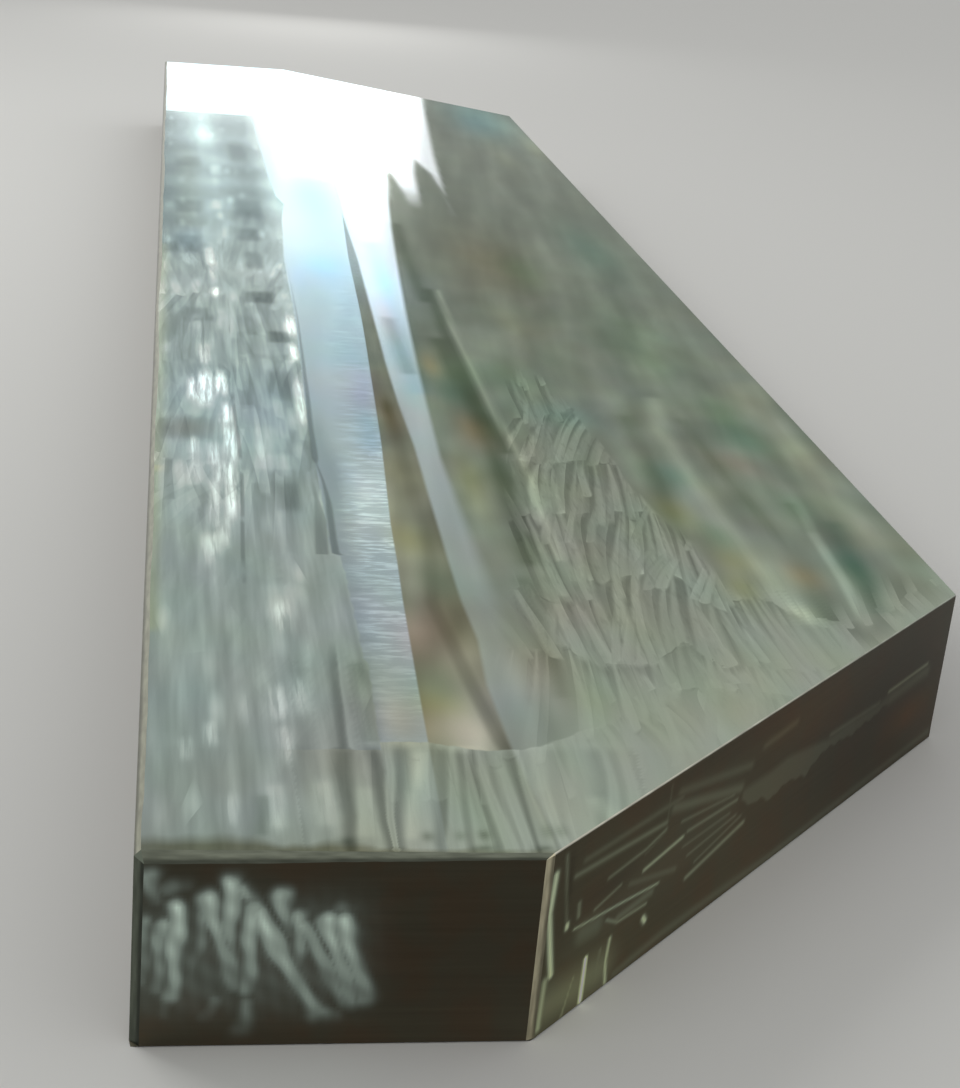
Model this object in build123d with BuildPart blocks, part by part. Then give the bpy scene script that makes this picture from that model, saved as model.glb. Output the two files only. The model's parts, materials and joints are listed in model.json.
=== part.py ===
"""Forged steel plate, milled flat, with both corners of its right side cut off.

Frame: millimetres, +Z up. The plate lies flat with its underside on Z = 0.
Its length runs along Y, with the near end at the -Y side, and its width along X.
The origin is the middle of the underside's bounding rectangle.
"""
import os

from build123d import *

# Overall sizes of the forging after milling
plate_length = 4800.0
plate_width = 1000.0
plate_thickness = 200.0

# Corner cuts: the width that stays square at each end, and the cut's angle to that end
near_end_width = 370.0
near_cut_angle = 45.0
far_end_width = 370.0
far_cut_angle = 45.0

# Bevel ground along the near end's top edge, which runs out towards the corner cut
near_bevel_at_left = 9.0
near_bevel_at_cut = 4.0

# Even bevels on the other edges that were ground by hand
left_top_bevel = 6.0
near_left_corner_bevel = 9.0
near_cut_corner_bevel = 5.0

# Break on every edge that was only deburred
edge_break = 1.5

# Plan outline, worked out from the sizes above
left_x = -plate_width / 2
right_x = plate_width / 2
near_y = -plate_length / 2
far_y = plate_length / 2
near_cut_x = left_x + near_end_width
far_cut_x = left_x + far_end_width
near_cut = Plane(
    origin=(near_cut_x, near_y, 0),
    x_dir=Vector(1, 0, 0).rotate(Axis.Z, near_cut_angle),
    z_dir=(0, 0, 1),
)
far_cut = Plane(
    origin=(far_cut_x, far_y, 0),
    x_dir=Vector(1, 0, 0).rotate(Axis.Z, -far_cut_angle),
    z_dir=(0, 0, 1),
)


def right_side_y(cut):
    """Y at which a corner cut reaches the plate's right side."""
    reach = (right_x - cut.origin.X) / cut.x_dir.X
    return cut.origin.Y + reach * cut.x_dir.Y


def bevel_plane(start, end, inwards):
    """Plane at 45 degrees to the top through two points just below its edge.

    The plane rises inwards, over the plate, and its normal points out and up.
    """
    rise = Vector(inwards) + Vector(0, 0, 1)
    return Plane(origin=start, z_dir=(Vector(end) - Vector(start)).cross(rise))


near_side_y = right_side_y(near_cut)
far_side_y = right_side_y(far_cut)

# Corners of the plan, anticlockwise from the near left one, each with its upright bevel
corners = [
    ((left_x, near_y), near_left_corner_bevel),
    ((near_cut_x, near_y), near_cut_corner_bevel),
    ((right_x, near_side_y), edge_break),
    ((right_x, far_side_y), edge_break),
    ((far_cut_x, far_y), edge_break),
    ((left_x, far_y), edge_break),
]

with BuildPart() as forged_plate:
    with BuildSketch(Plane.XY) as plan:
        with BuildLine():
            Polyline(*[point for point, bevel in corners], close=True)
        make_face()
        for point, bevel in corners:
            chamfer(plan.vertices().sort_by_distance(point)[0], bevel)
    extrude(amount=plate_thickness)

    # Deburred rims of the underside and of the top
    underside = forged_plate.faces().sort_by(Axis.Z)[0]
    top = forged_plate.faces().sort_by(Axis.Z)[-1]
    chamfer(underside.edges() + top.edges(), edge_break)

    # Hand-ground bevel along the left edge of the top
    left_bevel = bevel_plane(
        (left_x, far_y, plate_thickness - left_top_bevel),
        (left_x, near_y, plate_thickness - left_top_bevel),
        inwards=(1, 0, 0),
    )
    split(bisect_by=left_bevel, keep=Keep.BOTTOM)

    # Hand-ground bevel of the near end, narrowing evenly towards the corner cut
    near_bevel = bevel_plane(
        (left_x, near_y, plate_thickness - near_bevel_at_left),
        (near_cut_x, near_y, plate_thickness - near_bevel_at_cut),
        inwards=(0, 1, 0),
    )
    split(bisect_by=near_bevel, keep=Keep.BOTTOM)

forged_plate.part.label = "forged_plate"

os.makedirs("parts", exist_ok=True)
export_step(forged_plate.part, "parts/forged_plate.step")
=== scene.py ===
"""Forged steel plate, milled flat and then ground by hand, on a plain studio floor.

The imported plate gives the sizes. One closed mesh is built around them, with uneven ground
bevels and a slight swell of the top, and three finishes are laid over it: the worked top
with its milling lanes and grinding strokes, the dark sides and the bevels.
Lengths are in millimetres. Those of the settings, the lamps and names ending in _m are in metres.
"""
import json
import math

import bpy
import numpy as np
from mathutils import Matrix, Vector, noise


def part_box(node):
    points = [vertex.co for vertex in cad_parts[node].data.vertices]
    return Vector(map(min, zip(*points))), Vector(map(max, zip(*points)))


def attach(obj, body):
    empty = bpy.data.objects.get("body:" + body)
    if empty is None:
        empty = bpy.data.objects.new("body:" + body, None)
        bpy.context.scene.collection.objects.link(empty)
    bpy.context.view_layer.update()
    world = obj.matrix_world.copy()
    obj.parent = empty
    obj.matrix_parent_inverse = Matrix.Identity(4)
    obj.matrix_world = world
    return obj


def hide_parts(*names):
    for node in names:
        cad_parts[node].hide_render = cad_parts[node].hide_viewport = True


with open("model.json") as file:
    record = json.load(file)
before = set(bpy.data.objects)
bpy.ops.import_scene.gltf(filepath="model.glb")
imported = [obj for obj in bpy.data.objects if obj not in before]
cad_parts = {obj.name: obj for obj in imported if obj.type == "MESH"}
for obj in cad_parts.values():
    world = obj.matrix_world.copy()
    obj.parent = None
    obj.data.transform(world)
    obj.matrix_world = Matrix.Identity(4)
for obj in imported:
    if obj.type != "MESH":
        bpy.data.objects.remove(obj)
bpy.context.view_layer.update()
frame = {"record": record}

bl_info = {
    "name": "Forged Steel Plate",
    "version": (1, 0, 0),
    "blender": (4, 5, 0),
    "location": "3D View > Sidebar > Forged Plate",
    "description": "Builds a milled and hand-ground forged plate with a studio around it",
    "category": "Add Mesh",
}

NODE = "forged_plate"
BODY = "root"
MM = 1000.0

# Height of the picture in pixels, and the longer side of Blender's sensor in mm
FRAME_HEIGHT_PX = 1088
SENSOR = 36.0


def mount_place(name):
    """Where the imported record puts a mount, in mm."""
    found = [mount for mount in frame["record"]["mounts"] if mount["name"] == name]
    return Vector(found[0]["pos_m"]) * MM


low, high = [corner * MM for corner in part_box(NODE)]
THICKNESS = high.z
NEAR_END_WIDTH = 2 * (mount_place("near_end").x - low.x)
FAR_END_WIDTH = 2 * (mount_place("far_end").x - low.x)

# Plan corners, anticlockwise from the near left one. Both cuts are at 45 degrees, and side k starts at
# corner k.
NEAR_CUT = (low.x + NEAR_END_WIDTH, low.y)
NEAR_SIDE = (high.x, low.y + high.x - NEAR_CUT[0])
FAR_CUT = (low.x + FAR_END_WIDTH, high.y)
FAR_SIDE = (high.x, high.y - (high.x - FAR_CUT[0]))
PLAN = [(low.x, low.y), NEAR_CUT, NEAR_SIDE, FAR_SIDE, FAR_CUT, (low.x, high.y)]

# Numbers of the near and left sides, whose top edges have ground bevels
NEAR, LEFT = 0, 5


def length_prop(name, description, default):
    """A size in metres that a user may change."""
    return bpy.props.FloatProperty(name=name, description=description, default=default, unit="LENGTH")


def colour_prop(name, description, default):
    """A colour that a user may change, kept as linear light."""
    return bpy.props.FloatVectorProperty(
        name=name, description=description, default=linear(default), subtype="COLOR", min=0, max=1
    )


def linear(code):
    """Linear light of an sRGB hex colour such as "8d968b"."""
    parts = [int(code[i:i + 2], 16) / 255 for i in (0, 2, 4)]
    return tuple(c / 12.92 if c <= 0.04045 else ((c + 0.055) / 1.055) ** 2.4 for c in parts)


class PlateSettings(bpy.types.PropertyGroup):
    """Sizes and colours of the plate's worked surfaces."""

    left_bevel: length_prop("Left bevel", "Bevel ground along the left edge of the top", 0.006)
    near_bevel_left: length_prop("Near bevel, left", "Near top bevel at the left corner", 0.009)
    near_bevel_right: length_prop("Near bevel, right", "Near top bevel at the corner cut", 0.004)
    left_corner_bevel: length_prop("Left corner bevel", "Upright near left corner", 0.009)
    cut_corner_bevel: length_prop("Cut corner bevel", "Upright corner where the near cut starts", 0.005)
    edge_break: length_prop("Edge break", "Break on the edges that were only deburred", 0.0015)
    bevel_wander: length_prop("Bevel wander", "How far a ground bevel's width wanders", 0.0025)
    stroke_width: length_prop("Stroke width", "Width of one pass of the grinder", 0.021)
    stroke_length: length_prop("Stroke length", "Length of one pass of the grinder", 0.215)
    ground: colour_prop("Ground steel", "Top where it was ground in rows by hand", "878f83")
    softened: colour_prop("Softened steel", "Left band, which was ground twice", "89958f")
    milled: colour_prop("Milled steel", "Right side, where the milling still shows", "868f82")
    lane: colour_prop("Bright lane", "First bright milling lane", "9ca9aa")
    wedge: colour_prop("Dark wedge", "Dark wedge between the bright lanes", "7d7f71")
    pale: colour_prop("Pale lane", "Second bright milling lane", "97a29d")
    # Painted glare: the bright lanes turn to this colour towards the far end
    painted_glare: colour_prop("Far lanes", "Bright lanes where they run out at the far end", "dcebf0")
    film: colour_prop("Dark film", "Sides under their film of oil", "3c3b31")
    rust: colour_prop("Light rust", "Browner patches of the sides", "42372b")
    bare: colour_prop("Bare stroke", "Sides where the grinder has bared them", "93a098")
    bevel: colour_prop("Bevel", "Plain broken edges", "8f9186")


class StageSettings(bpy.types.PropertyGroup):
    """Studio floor, lamps and camera."""

    floor: colour_prop("Floor", "Pale studio floor", "dcdcd8")
    floor_size: length_prop("Floor size", "Side of the square floor", 60.0)
    focal_px: bpy.props.FloatProperty(
        name="Focal length", description="Focal length in pixels of the picture", default=1934.0
    )
    camera_place: bpy.props.FloatVectorProperty(
        name="Camera", description="Where the camera stands", default=(-0.490, -3.877, 1.082),
        subtype="TRANSLATION",
    )
    camera_pitch: bpy.props.FloatProperty(
        name="Pitch", description="Camera tilt below level", default=math.radians(21.25), unit="ROTATION"
    )
    camera_heading: bpy.props.FloatProperty(
        name="Heading", description="Camera heading from +Y to +X", default=math.radians(10.26),
        unit="ROTATION",
    )
    camera_roll: bpy.props.FloatProperty(
        name="Roll", description="Camera roll, right side up", default=math.radians(5.40), unit="ROTATION"
    )


def wander(place, scale, seed):
    """Smooth noise between -1 and 1 at a place along an edge, with a scale in mm."""
    return noise.noise(Vector((place / scale, seed, 0.5)))


# Numbers of the finishes, in the order of the mesh's materials
TOP_FINISH, SIDE_FINISH, BEVEL_FINISH = range(3)


class Shell:
    """Vertices and faces of the plate as they are collected, patch by patch.

    A trace is a place on a face in mm, across it and along or up it, which the materials follow.
    """

    def __init__(self):
        self.points = []
        self.faces = []
        self.traces = []
        self.finishes = []
        self.edges = []

    def grid(self, rows, traces, finish, flip=False):
        """Adds a patch from rows of points, with the trace of each point, and returns its indices."""
        start = len(self.points)
        wide = len(rows[0])
        for row in rows:
            self.points.extend(row)
        index = [[start + j * wide + i for i in range(wide)] for j in range(len(rows))]
        for j in range(len(rows) - 1):
            for i in range(wide - 1):
                cells = [(j, i), (j, i + 1), (j + 1, i + 1), (j + 1, i)]
                if flip:
                    cells.reverse()
                self.faces.append([index[b][a] for b, a in cells])
                self.traces.extend(traces[b][a] for b, a in cells)
                self.finishes.append(finish)
                self.edges.append("")
        return index

    def strip(self, lower, upper, edge):
        """Joins two lines of vertices that run the same way, whatever their counts.

        A trace here is the distance along, the distance up the bevel, and its share from 0 to 1.
        """
        runs = [self.run(lower), self.run(upper)]
        width = (Vector(self.points[upper[0]]) - Vector(self.points[lower[0]])).length
        a = b = 0
        while a < len(lower) - 1 or b < len(upper) - 1:
            next_a = runs[0][a + 1] / runs[0][-1] if a < len(lower) - 1 else 2.0
            next_b = runs[1][b + 1] / runs[1][-1] if b < len(upper) - 1 else 2.0
            here_a = (runs[0][a], 0.0, 0.0)
            here_b = (runs[1][b], width, 1.0)
            if next_a <= next_b:
                self.faces.append([lower[a], lower[a + 1], upper[b]])
                self.traces.extend([here_a, (runs[0][a + 1], 0.0, 0.0), here_b])
                a += 1
            else:
                self.faces.append([lower[a], upper[b + 1], upper[b]])
                self.traces.extend([here_a, (runs[1][b + 1], width, 1.0), here_b])
                b += 1
            self.finishes.append(BEVEL_FINISH)
            self.edges.append(edge)

    def run(self, line):
        """Distance along a line of vertices at each of them."""
        total = [0.0]
        for a, b in zip(line, line[1:]):
            total.append(total[-1] + (Vector(self.points[b]) - Vector(self.points[a])).length)
        return total

    def corner(self, a, b, c, edge):
        """Closes the small triangle where three bevels meet."""
        self.faces.append([a, b, c])
        self.traces.extend([(0.0, 0.0, 1.0)] * 3)
        self.finishes.append(BEVEL_FINISH)
        self.edges.append(edge)


# Names of the edges, by the number of the side below and of the corner
RIM_NAMES = ["near rim", "near cut rim", "right rim", "far cut rim", "far rim", "left rim"]
UPRIGHT_NAMES = ["left corner", "cut corner", "right corner", "right corner", "far corner", "far corner"]


def offset_corner(k, inset_before, inset_after):
    """Plan point where the edges before and after corner k meet once both are moved inwards."""
    here = Vector(PLAN[k])
    along_before = (here - Vector(PLAN[k - 1])).normalized()
    along_after = (Vector(PLAN[(k + 1) % 6]) - here).normalized()
    in_before = Vector((-along_before.y, along_before.x))
    in_after = Vector((-along_after.y, along_after.x))
    start_before = here + in_before * inset_before
    start_after = here + in_after * inset_after
    gap = start_after - start_before
    cross = along_before.x * along_after.y - along_before.y * along_after.x
    reach = (gap.x * along_after.y - gap.y * along_after.x) / cross
    return start_before + along_before * reach


def stations(start, end, count, power, stops=()):
    """Places from start to end, closer together at the start, with some moved to fixed stops."""
    places = [start + (end - start) * (i / count) ** power for i in range(count + 1)]
    for stop in stops:
        nearest = min(range(len(places)), key=lambda i: abs(places[i] - stop))
        places[nearest] = stop
    return places


def outline(index, near_kink, far_kink):
    """The six edges of a face, anticlockwise, from its vertices in rows and the rows of its two kinks."""
    right = [row[-1] for row in index]
    left = [row[0] for row in index]
    return [
        index[0],
        right[:near_kink + 1],
        right[near_kink:far_kink + 1],
        right[far_kink:],
        index[-1][::-1],
        left[::-1],
    ]


def build_shell(sizes):
    """The plate's closed skin: two faces, six sides and the bevels between them."""
    shell = Shell()
    brk = sizes["edge_break"]
    drift = sizes["bevel_wander"]

    def left_bevel(y):
        """Width of the left bevel, which the grinder left wider in some stretches."""
        return sizes["left_bevel"] + drift * (0.6 + wander(y, 310, 1) + 0.4 * wander(y, 60, 2))

    def near_bevel(x):
        """Width of the near bevel, which narrows towards the corner cut."""
        part = (x - low.x) / NEAR_END_WIDTH
        even = sizes["near_bevel_left"] * (1 - part) + sizes["near_bevel_right"] * part
        return even + 0.35 * drift * (0.6 + wander(x, 70, 3) + 0.5 * wander(x, 16, 4))

    # Top: corners of its flat part, then rows across the plate from the near end
    top_corners = [
        offset_corner(0, left_bevel(low.y), near_bevel(low.x)),
        offset_corner(1, near_bevel(NEAR_CUT[0]), brk),
        offset_corner(2, brk, brk),
        offset_corner(3, brk, brk),
        offset_corner(4, brk, brk),
        offset_corner(5, brk, left_bevel(high.y)),
    ]
    first_row = low.y + near_bevel(low.x) + sizes["first_row_gap"]
    rows = stations(first_row, top_corners[4].y, sizes["top_rows"] - 1, sizes["row_power"],
                    [top_corners[2].y, top_corners[3].y])
    top_points, top_traces = [], []
    across = stations(0, 1, sizes["top_columns"], sizes["column_power"])
    for j in range(-1, len(rows)):
        if j < 0:
            left, right = top_corners[0], top_corners[1]
        else:
            left = Vector((low.x + left_bevel(rows[j]), rows[j]))
            right = Vector((right_edge(top_corners, rows[j]), rows[j]))
        if j == len(rows) - 1:
            left = top_corners[5]
        line = [left.lerp(right, f) for f in across]
        if j < 0:
            line = [left] + [Vector((p.x, low.y + near_bevel(p.x))) for p in line[1:-1]] + [right]
        top_points.append([(p.x, p.y, THICKNESS - relief(p.x - low.x, p.y - low.y)) for p in line])
        top_traces.append([(p.x - low.x, p.y - low.y, 0.0) for p in line])
    top = shell.grid(top_points, top_traces, TOP_FINISH)
    top_edges = outline(top, rows.index(top_corners[2].y) + 1, rows.index(top_corners[3].y) + 1)

    # Underside: the same plan with an even break all round
    under_corners = [offset_corner(k, brk, brk) for k in range(6)]
    rows = stations(under_corners[0].y, under_corners[4].y, sizes["under_rows"], 1.0,
                    [under_corners[2].y, under_corners[3].y])
    across = stations(0, 1, sizes["under_columns"], 1)
    under_points, under_traces = [], []
    for y in rows:
        left = Vector((under_corners[0].x, y))
        right = Vector((right_edge(under_corners, y), y))
        line = [left.lerp(right, f) for f in across]
        under_points.append([(p.x, p.y, 0.0) for p in line])
        under_traces.append([(p.x - low.x, p.y - low.y, 0.0) for p in line])
    under = shell.grid(under_points, under_traces, SIDE_FINISH, flip=True)
    under_edges = outline(under, rows.index(under_corners[2].y), rows.index(under_corners[3].y))

    # Sides, anticlockwise, each from its first upright bevel to its last
    uprights = [sizes["left_corner_bevel"], sizes["cut_corner_bevel"], brk, brk, brk, brk]
    columns = sizes["side_columns"]
    heights = sizes["side_rows"]
    sides = []
    for k in range(6):
        start, end = Vector(PLAN[k]), Vector(PLAN[(k + 1) % 6])
        along = (end - start).normalized()
        first = start + along * uprights[k]
        last = end - along * uprights[(k + 1) % 6]
        points, traces = [], []
        for j in range(heights[k] + 1):
            row, row_traces = [], []
            for i in range(columns[k] + 1):
                p = first.lerp(last, i / columns[k])
                rim = {NEAR: near_bevel(p.x), LEFT: left_bevel(p.y)}.get(k, brk)
                z = brk + (THICKNESS - rim - brk) * j / heights[k]
                row.append((p.x, p.y, z))
                row_traces.append(((p - start).length, z, 0.0))
            points.append(row)
            traces.append(row_traces)
        sides.append(shell.grid(points, traces, SIDE_FINISH))

    # Bevels: along the top, along the underside and up the corners, then the corner triangles
    for k in range(6):
        after = (k + 1) % 6
        shell.strip(sides[k][-1], top_edges[k], RIM_NAMES[k])
        shell.strip(under_edges[k], sides[k][0], "underside rim")
        leaving = [row[-1] for row in sides[k]]
        arriving = [row[0] for row in sides[after]]
        shell.strip(arriving, leaving, UPRIGHT_NAMES[after])
        shell.corner(leaving[-1], arriving[-1], top_edges[k][-1], UPRIGHT_NAMES[after])
        shell.corner(arriving[0], leaving[0], under_edges[k][-1], "underside rim")
    return shell


def right_edge(corners, y):
    """X of a face's right boundary at a place along the plate."""
    return float(np.interp(y, [corner.y for corner in corners[1:5]], [corner.x for corner in corners[1:5]]))


# The top's slight swell: how deep it lies, how far it rises and falls, and how broad and long its waves are
SWELL_MEAN = 0.12
SWELL_DEPTH = 0.10
SWELL_WIDTH = 160
SWELL_LENGTH = 420


def relief(x, y):
    """How far the worked top lies below the plate's full height, measured from its left near corner."""
    return SWELL_MEAN + SWELL_DEPTH * noise.noise(Vector((x / SWELL_WIDTH, y / SWELL_LENGTH, 3.0)))


# Where the last milling pass over the far end starts, in mm from the near end
FAR_BAND_START = 3880

# The next functions trace the top's bands and marks. Their x runs in mm across from the left side,
# and their y in mm from the near end.


def ground_band_edge(y):
    """Right edge of the band that was ground by hand along the left side, in steps near the front."""
    edge = np.interp(y, [0, 217, 402, 410, 700, 710, 1200, 1784, 2250, 2600, 2750, 2828, 3051, 3516, 3860],
                     [232, 235, 240, 237, 235, 224, 226, 240, 243, 257, 268, 254, 247, 240, 236])
    return np.where(y > FAR_BAND_START, -10.0, edge)


def dark_seam(y):
    """Half width of the dark seam along the ground band's edge, and how far right of it the seam lies."""
    half = np.interp(y, [0, 860, 960, 1040, 1056, 1200, 1534, 1700, 2400],
                     [6.8, 5.2, 2.6, 2.2, 5.4, 4.8, 3.6, 2.4, 0])
    middle = np.interp(y, [755, 896, 973, 1045, 1132, 1320], [5, 8, 6, 1, 2, 4])
    return half, middle


def seam_smear(x, y):
    """Distance across from the middle of the smear that lies beside the seam, on its left."""
    return x - np.interp(y, [700, 736, 822, 895, 971, 1100], [212, 213, 218, 218, 216, 214])


def bright_streak(x, y):
    """Distance across from the middle of the bright streak near the right corner."""
    return x - np.interp(y, [430, 517, 664, 804, 972, 1100], [834, 846, 864, 873, 891, 906])


def crease(y):
    """Middle of the dark crease that runs into the wedge from the near row of strokes."""
    return np.interp(y, [190, 218, 262, 354, 455, 566, 700, 1200], [363, 357, 353, 345, 338, 330, 345, 352])


def band_seam(y):
    """Line between the two rows of strokes that lie side by side in the ground band."""
    return 114 + 0.006 * y + 3 * np.sin(y / 130)


def bright_lane_edge(y):
    """Right edge of the first bright lane."""
    return np.interp(
        y, [0, 354, 566, 688, 817, 966, 1132, 1320, 1534, 1660, 1800, 1945, 2250, 2430, 2700, 3900, 4800],
        [276, 288, 296, 302, 307, 316, 326, 335, 345, 351, 357, 362, 371, 379, 392, 418, 424],
    )


def dark_wedge_edge(y):
    """Right edge of the dark wedge, which closes towards the far end."""
    edge = np.interp(
        y, [0, 200, 350, 463, 575, 698, 824, 966, 1132, 1320, 1534, 1660, 1800, 1945, 2250, 2700],
        [380, 366, 362, 369, 365, 366, 368, 370, 373, 371, 373, 376, 379, 382, 389, 392],
    )
    return np.where(y > 2700, bright_lane_edge(y), np.maximum(edge, bright_lane_edge(y)))


def pale_lane_edge(y):
    """Right edge of the second bright lane, which opens towards the far end."""
    return np.maximum(378 + 0.012 * y + 1.2e-5 * y ** 2, 405)


def far_glare_lanes(x, y):
    """How far, 0 to 1, a place is in the short bright lanes at the far right, which start in points and
    carry painted glare.
    """
    soft = 14.0
    outer = np.interp(y, [2880, 3029, 3460, 3977, 4605, 4800], [650, 663, 694, 738, 791, 806])
    inside = np.clip((outer - x) / soft, 0, 1) * (x > pale_lane_edge(y) - 8)
    for apex, rows, near_sides, far_sides in (
        (3192, [2450, 2736, 2944, 3155, 3192], [490, 507, 520, 534, 545], [529, 551, 557, 551, 545]),
        (3385, [2700, 2905, 3008, 3200, 3385], [570, 585, 592, 606, 628], [640, 653, 654, 652, 628]),
    ):
        in_gap = np.minimum(x - np.interp(y, rows, near_sides), np.interp(y, rows, far_sides) - x)
        inside *= 1 - np.clip(0.4 + in_gap / soft, 0, 1) * (y < apex)
    return inside * np.clip((y - 2700 - 0.9 * (650 - x)) / 260, 0, 1)


def hand_patch_reach(x, y):
    """How far, in mm, a place is inside the patch right of the lanes that was ground by hand in rows."""
    reach = np.interp(
        x, [430, 480, 520, 560, 600, 640, 665, 700, 770, 790, 850, 1000],
        [520, 880, 1180, 1400, 1450, 1400, 980, 640, 600, 530, 515, 690],
    )
    return np.minimum(reach - y, 1.3 * (x - 405 - 0.09 * y - 36 * np.clip((450 - y) / 130, 0, 1)))


# Where each row of strokes starts, in mm from the plate's near end. On the right side of the top this is
# traced at places across the plate. Beyond the last of them the rows are all of one length.
RIGHT_ROW_ENDS = [
    [(370, -8), (700, 120), (1000, 350)],
    [(200, 216), (240, 214), (285, 217), (334, 205), (373, 197), (434, 236), (517, 298), (572, 348),
     (659, 351), (720, 330), (1000, 590)],
    [(200, 420), (464, 453), (505, 398), (557, 410), (610, 469), (635, 400), (700, 420), (760, 400),
     (1000, 610)],
    [(477, 630), (528, 639), (583, 663), (638, 683), (666, 627), (700, 597), (741, 611), (768, 572),
     (826, 522), (1000, 690)],
    [(515, 868), (589, 878), (660, 893), (700, 851), (1000, 900)],
    [(505, 1085), (547, 1075), (649, 1100), (1000, 1110)],
    [(520, 1290), (566, 1274), (634, 1331), (677, 1388), (1000, 1330)],
]
LEFT_ROW_ENDS = [
    -8, 201, 415, 640, 885, 1044, 1290, 1519, 1784, 1960, 2187, 2354, 2664, 2949, 3201, 3500, 3880,
]
MIDDLE_ROW_ENDS = [
    -8, 200, 302, 406, 630, 705, 1000, 1288, 1541, 1700, 1929, 2120, 2436, 2726, 2950, 3200, 3500, 3880,
]
FAR_ROW_LENGTH = 215


def row_number(y, ends):
    """How many rows lie between the plate's near end and each place, with the part of the last one."""
    number = np.maximum(y - ends[-1], 0) / FAR_ROW_LENGTH
    for start, end in zip(ends, ends[1:]):
        number += np.clip((y - start) / (end - start), 0, 1)
    return number


def stroke_contrast(x, y):
    """How plainly the strokes show: least in the near row and beside the near corner cut."""
    from_cut = (y - (x - NEAR_END_WIDTH)) / math.sqrt(2)
    plain = np.interp(y, [0, 190, 240, 600, 1200], [0.24, 0.24, 0.44, 0.66, 0.70])
    plain *= 1 - 0.45 * np.clip((x - 690) / 110, 0, 1)
    plain *= 1 - 0.55 * np.exp(-((x - 430) / 42) ** 2 - ((y - 290) / 150) ** 2)
    return plain * (1 - 0.68 * np.exp(-(from_cut / 140) ** 2) * np.clip((x - 365) / 60, 0, 1))


def stroke_lean(x, y):
    """Mm that the strokes lean to the right for each mm up the plate."""
    upright = 0.08 * np.clip((x - 420) / 100, 0, 1) * np.clip((y - 450) / 300, 0, 1)
    return 0.03 + upright + 0.16 * np.exp(-((x - 520) / 60) ** 2 - ((y - 170) / 110) ** 2)


# Dark gaps between the broad strokes along the near end: points along each, then how dark it is
NEAR_GAPS = [
    ([(148, 0), (146, 205)], 0.10),
    ([(190, 24), (195, 70), (194, 100), (193, 155), (200, 205), (203, 355), (207, 455)], 0.42),
    ([(227, 24), (225, 60), (226, 98), (227, 127), (230, 155), (226, 205)], 0.44),
    ([(233, 24), (236, 71), (240, 98), (245, 127), (249, 155), (254, 205)], 0.44),
    ([(272, 20), (279, 63), (287, 119), (295, 192), (297, 205)], 0.34),
    ([(298, 20), (300, 46), (303, 91), (311, 179), (314, 205)], 0.24),
    ([(325, 20), (323, 68), (322, 91), (321, 159), (324, 205)], 0.26),
    ([(345, 20), (342, 69), (340, 97), (337, 154), (336, 205)], 0.14),
    ([(358, 20), (359, 69), (360, 107), (361, 150), (364, 205)], 0.30),
    ([(379, 20), (375, 95), (373, 132), (377, 205)], 0.16),
    ([(392, 20), (389, 60), (393, 121), (400, 167), (406, 205)], 0.14),
    ([(425, 40), (441, 110), (449, 155), (452, 205)], 0.16),
    ([(450, 60), (462, 130), (466, 205)], 0.12),
    ([(480, 90), (490, 205)], 0.10),
]


def near_gaps(x, y):
    """Number of the gap at each place, counted across the plate, how dark it is, and its half width.

    The number is whole in the middle of a gap. The half width is a share of the way to the next one.
    """
    lines = np.array([
        np.interp(y, [p[1] for p in points], [p[0] for p in points]) for points, dark in NEAR_GAPS
    ])
    spread = np.arange(1.0, len(NEAR_GAPS) + 1)
    number = np.array([np.interp(place, lines[:, i], spread, left=0.5, right=len(spread) + 0.5)
                       for i, place in enumerate(x)])
    darkness = np.interp(number, spread, [dark for points, dark in NEAR_GAPS])
    ends = np.interp(y, [0, 14, 195, 212], [0.3, 1, 1, 0])
    long_one = np.interp(y, [205, 400, 455], [0.8, 0.8, 0]) * (np.abs(number - 2) < 0.5)
    half = np.where(long_one > ends, 0.16, np.interp(y, [30, 190], [0.20, 0.36]))
    return number, darkness * np.maximum(ends, long_one), half


def line_distance(x, y, points):
    """Distance in mm from places to a line through points."""
    nearest = np.full(x.shape, 1e9)
    for (ax, ay), (bx, by) in zip(points, points[1:]):
        run = (bx - ax) ** 2 + (by - ay) ** 2
        part = np.clip(((x - ax) * (bx - ax) + (y - ay) * (by - ay)) / run, 0, 1)
        nearest = np.minimum(nearest, np.hypot(x - ax - part * (bx - ax), y - ay - part * (by - ay)))
    return nearest


# Tints of the top, as gains on red, green and blue
PINK = (1.09, 0.96, 0.98)
GREEN = (0.94, 1.04, 0.95)
YELLOW = (1.08, 1.05, 0.87)
BLUE = (0.94, 1.0, 1.07)
LILAC = (1.0, 0.95, 1.07)
CYAN = (0.91, 1.04, 1.05)
TEAL = (0.86, 1.0, 0.98)
ORANGE = (1.16, 0.98, 0.86)
BROWN = (0.90, 0.80, 0.74)
CREAM = (1.16, 1.14, 1.08)
LIGHT = (1.22, 1.22, 1.20)
WARM = (1.02, 1.0, 0.95)
DARK = (0.70, 0.72, 0.69)
DEEP = (0.56, 0.57, 0.54)
BRIGHT = (1.38, 1.38, 1.34)
SANDY = (1.0, 0.93, 0.86)
FAINT = (0.84, 0.85, 0.83)
ICY = (0.85, 0.95, 1.01)
HAZY = (0.90, 0.87, 0.98)
MURKY = (0.76, 0.83, 0.82)

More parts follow.
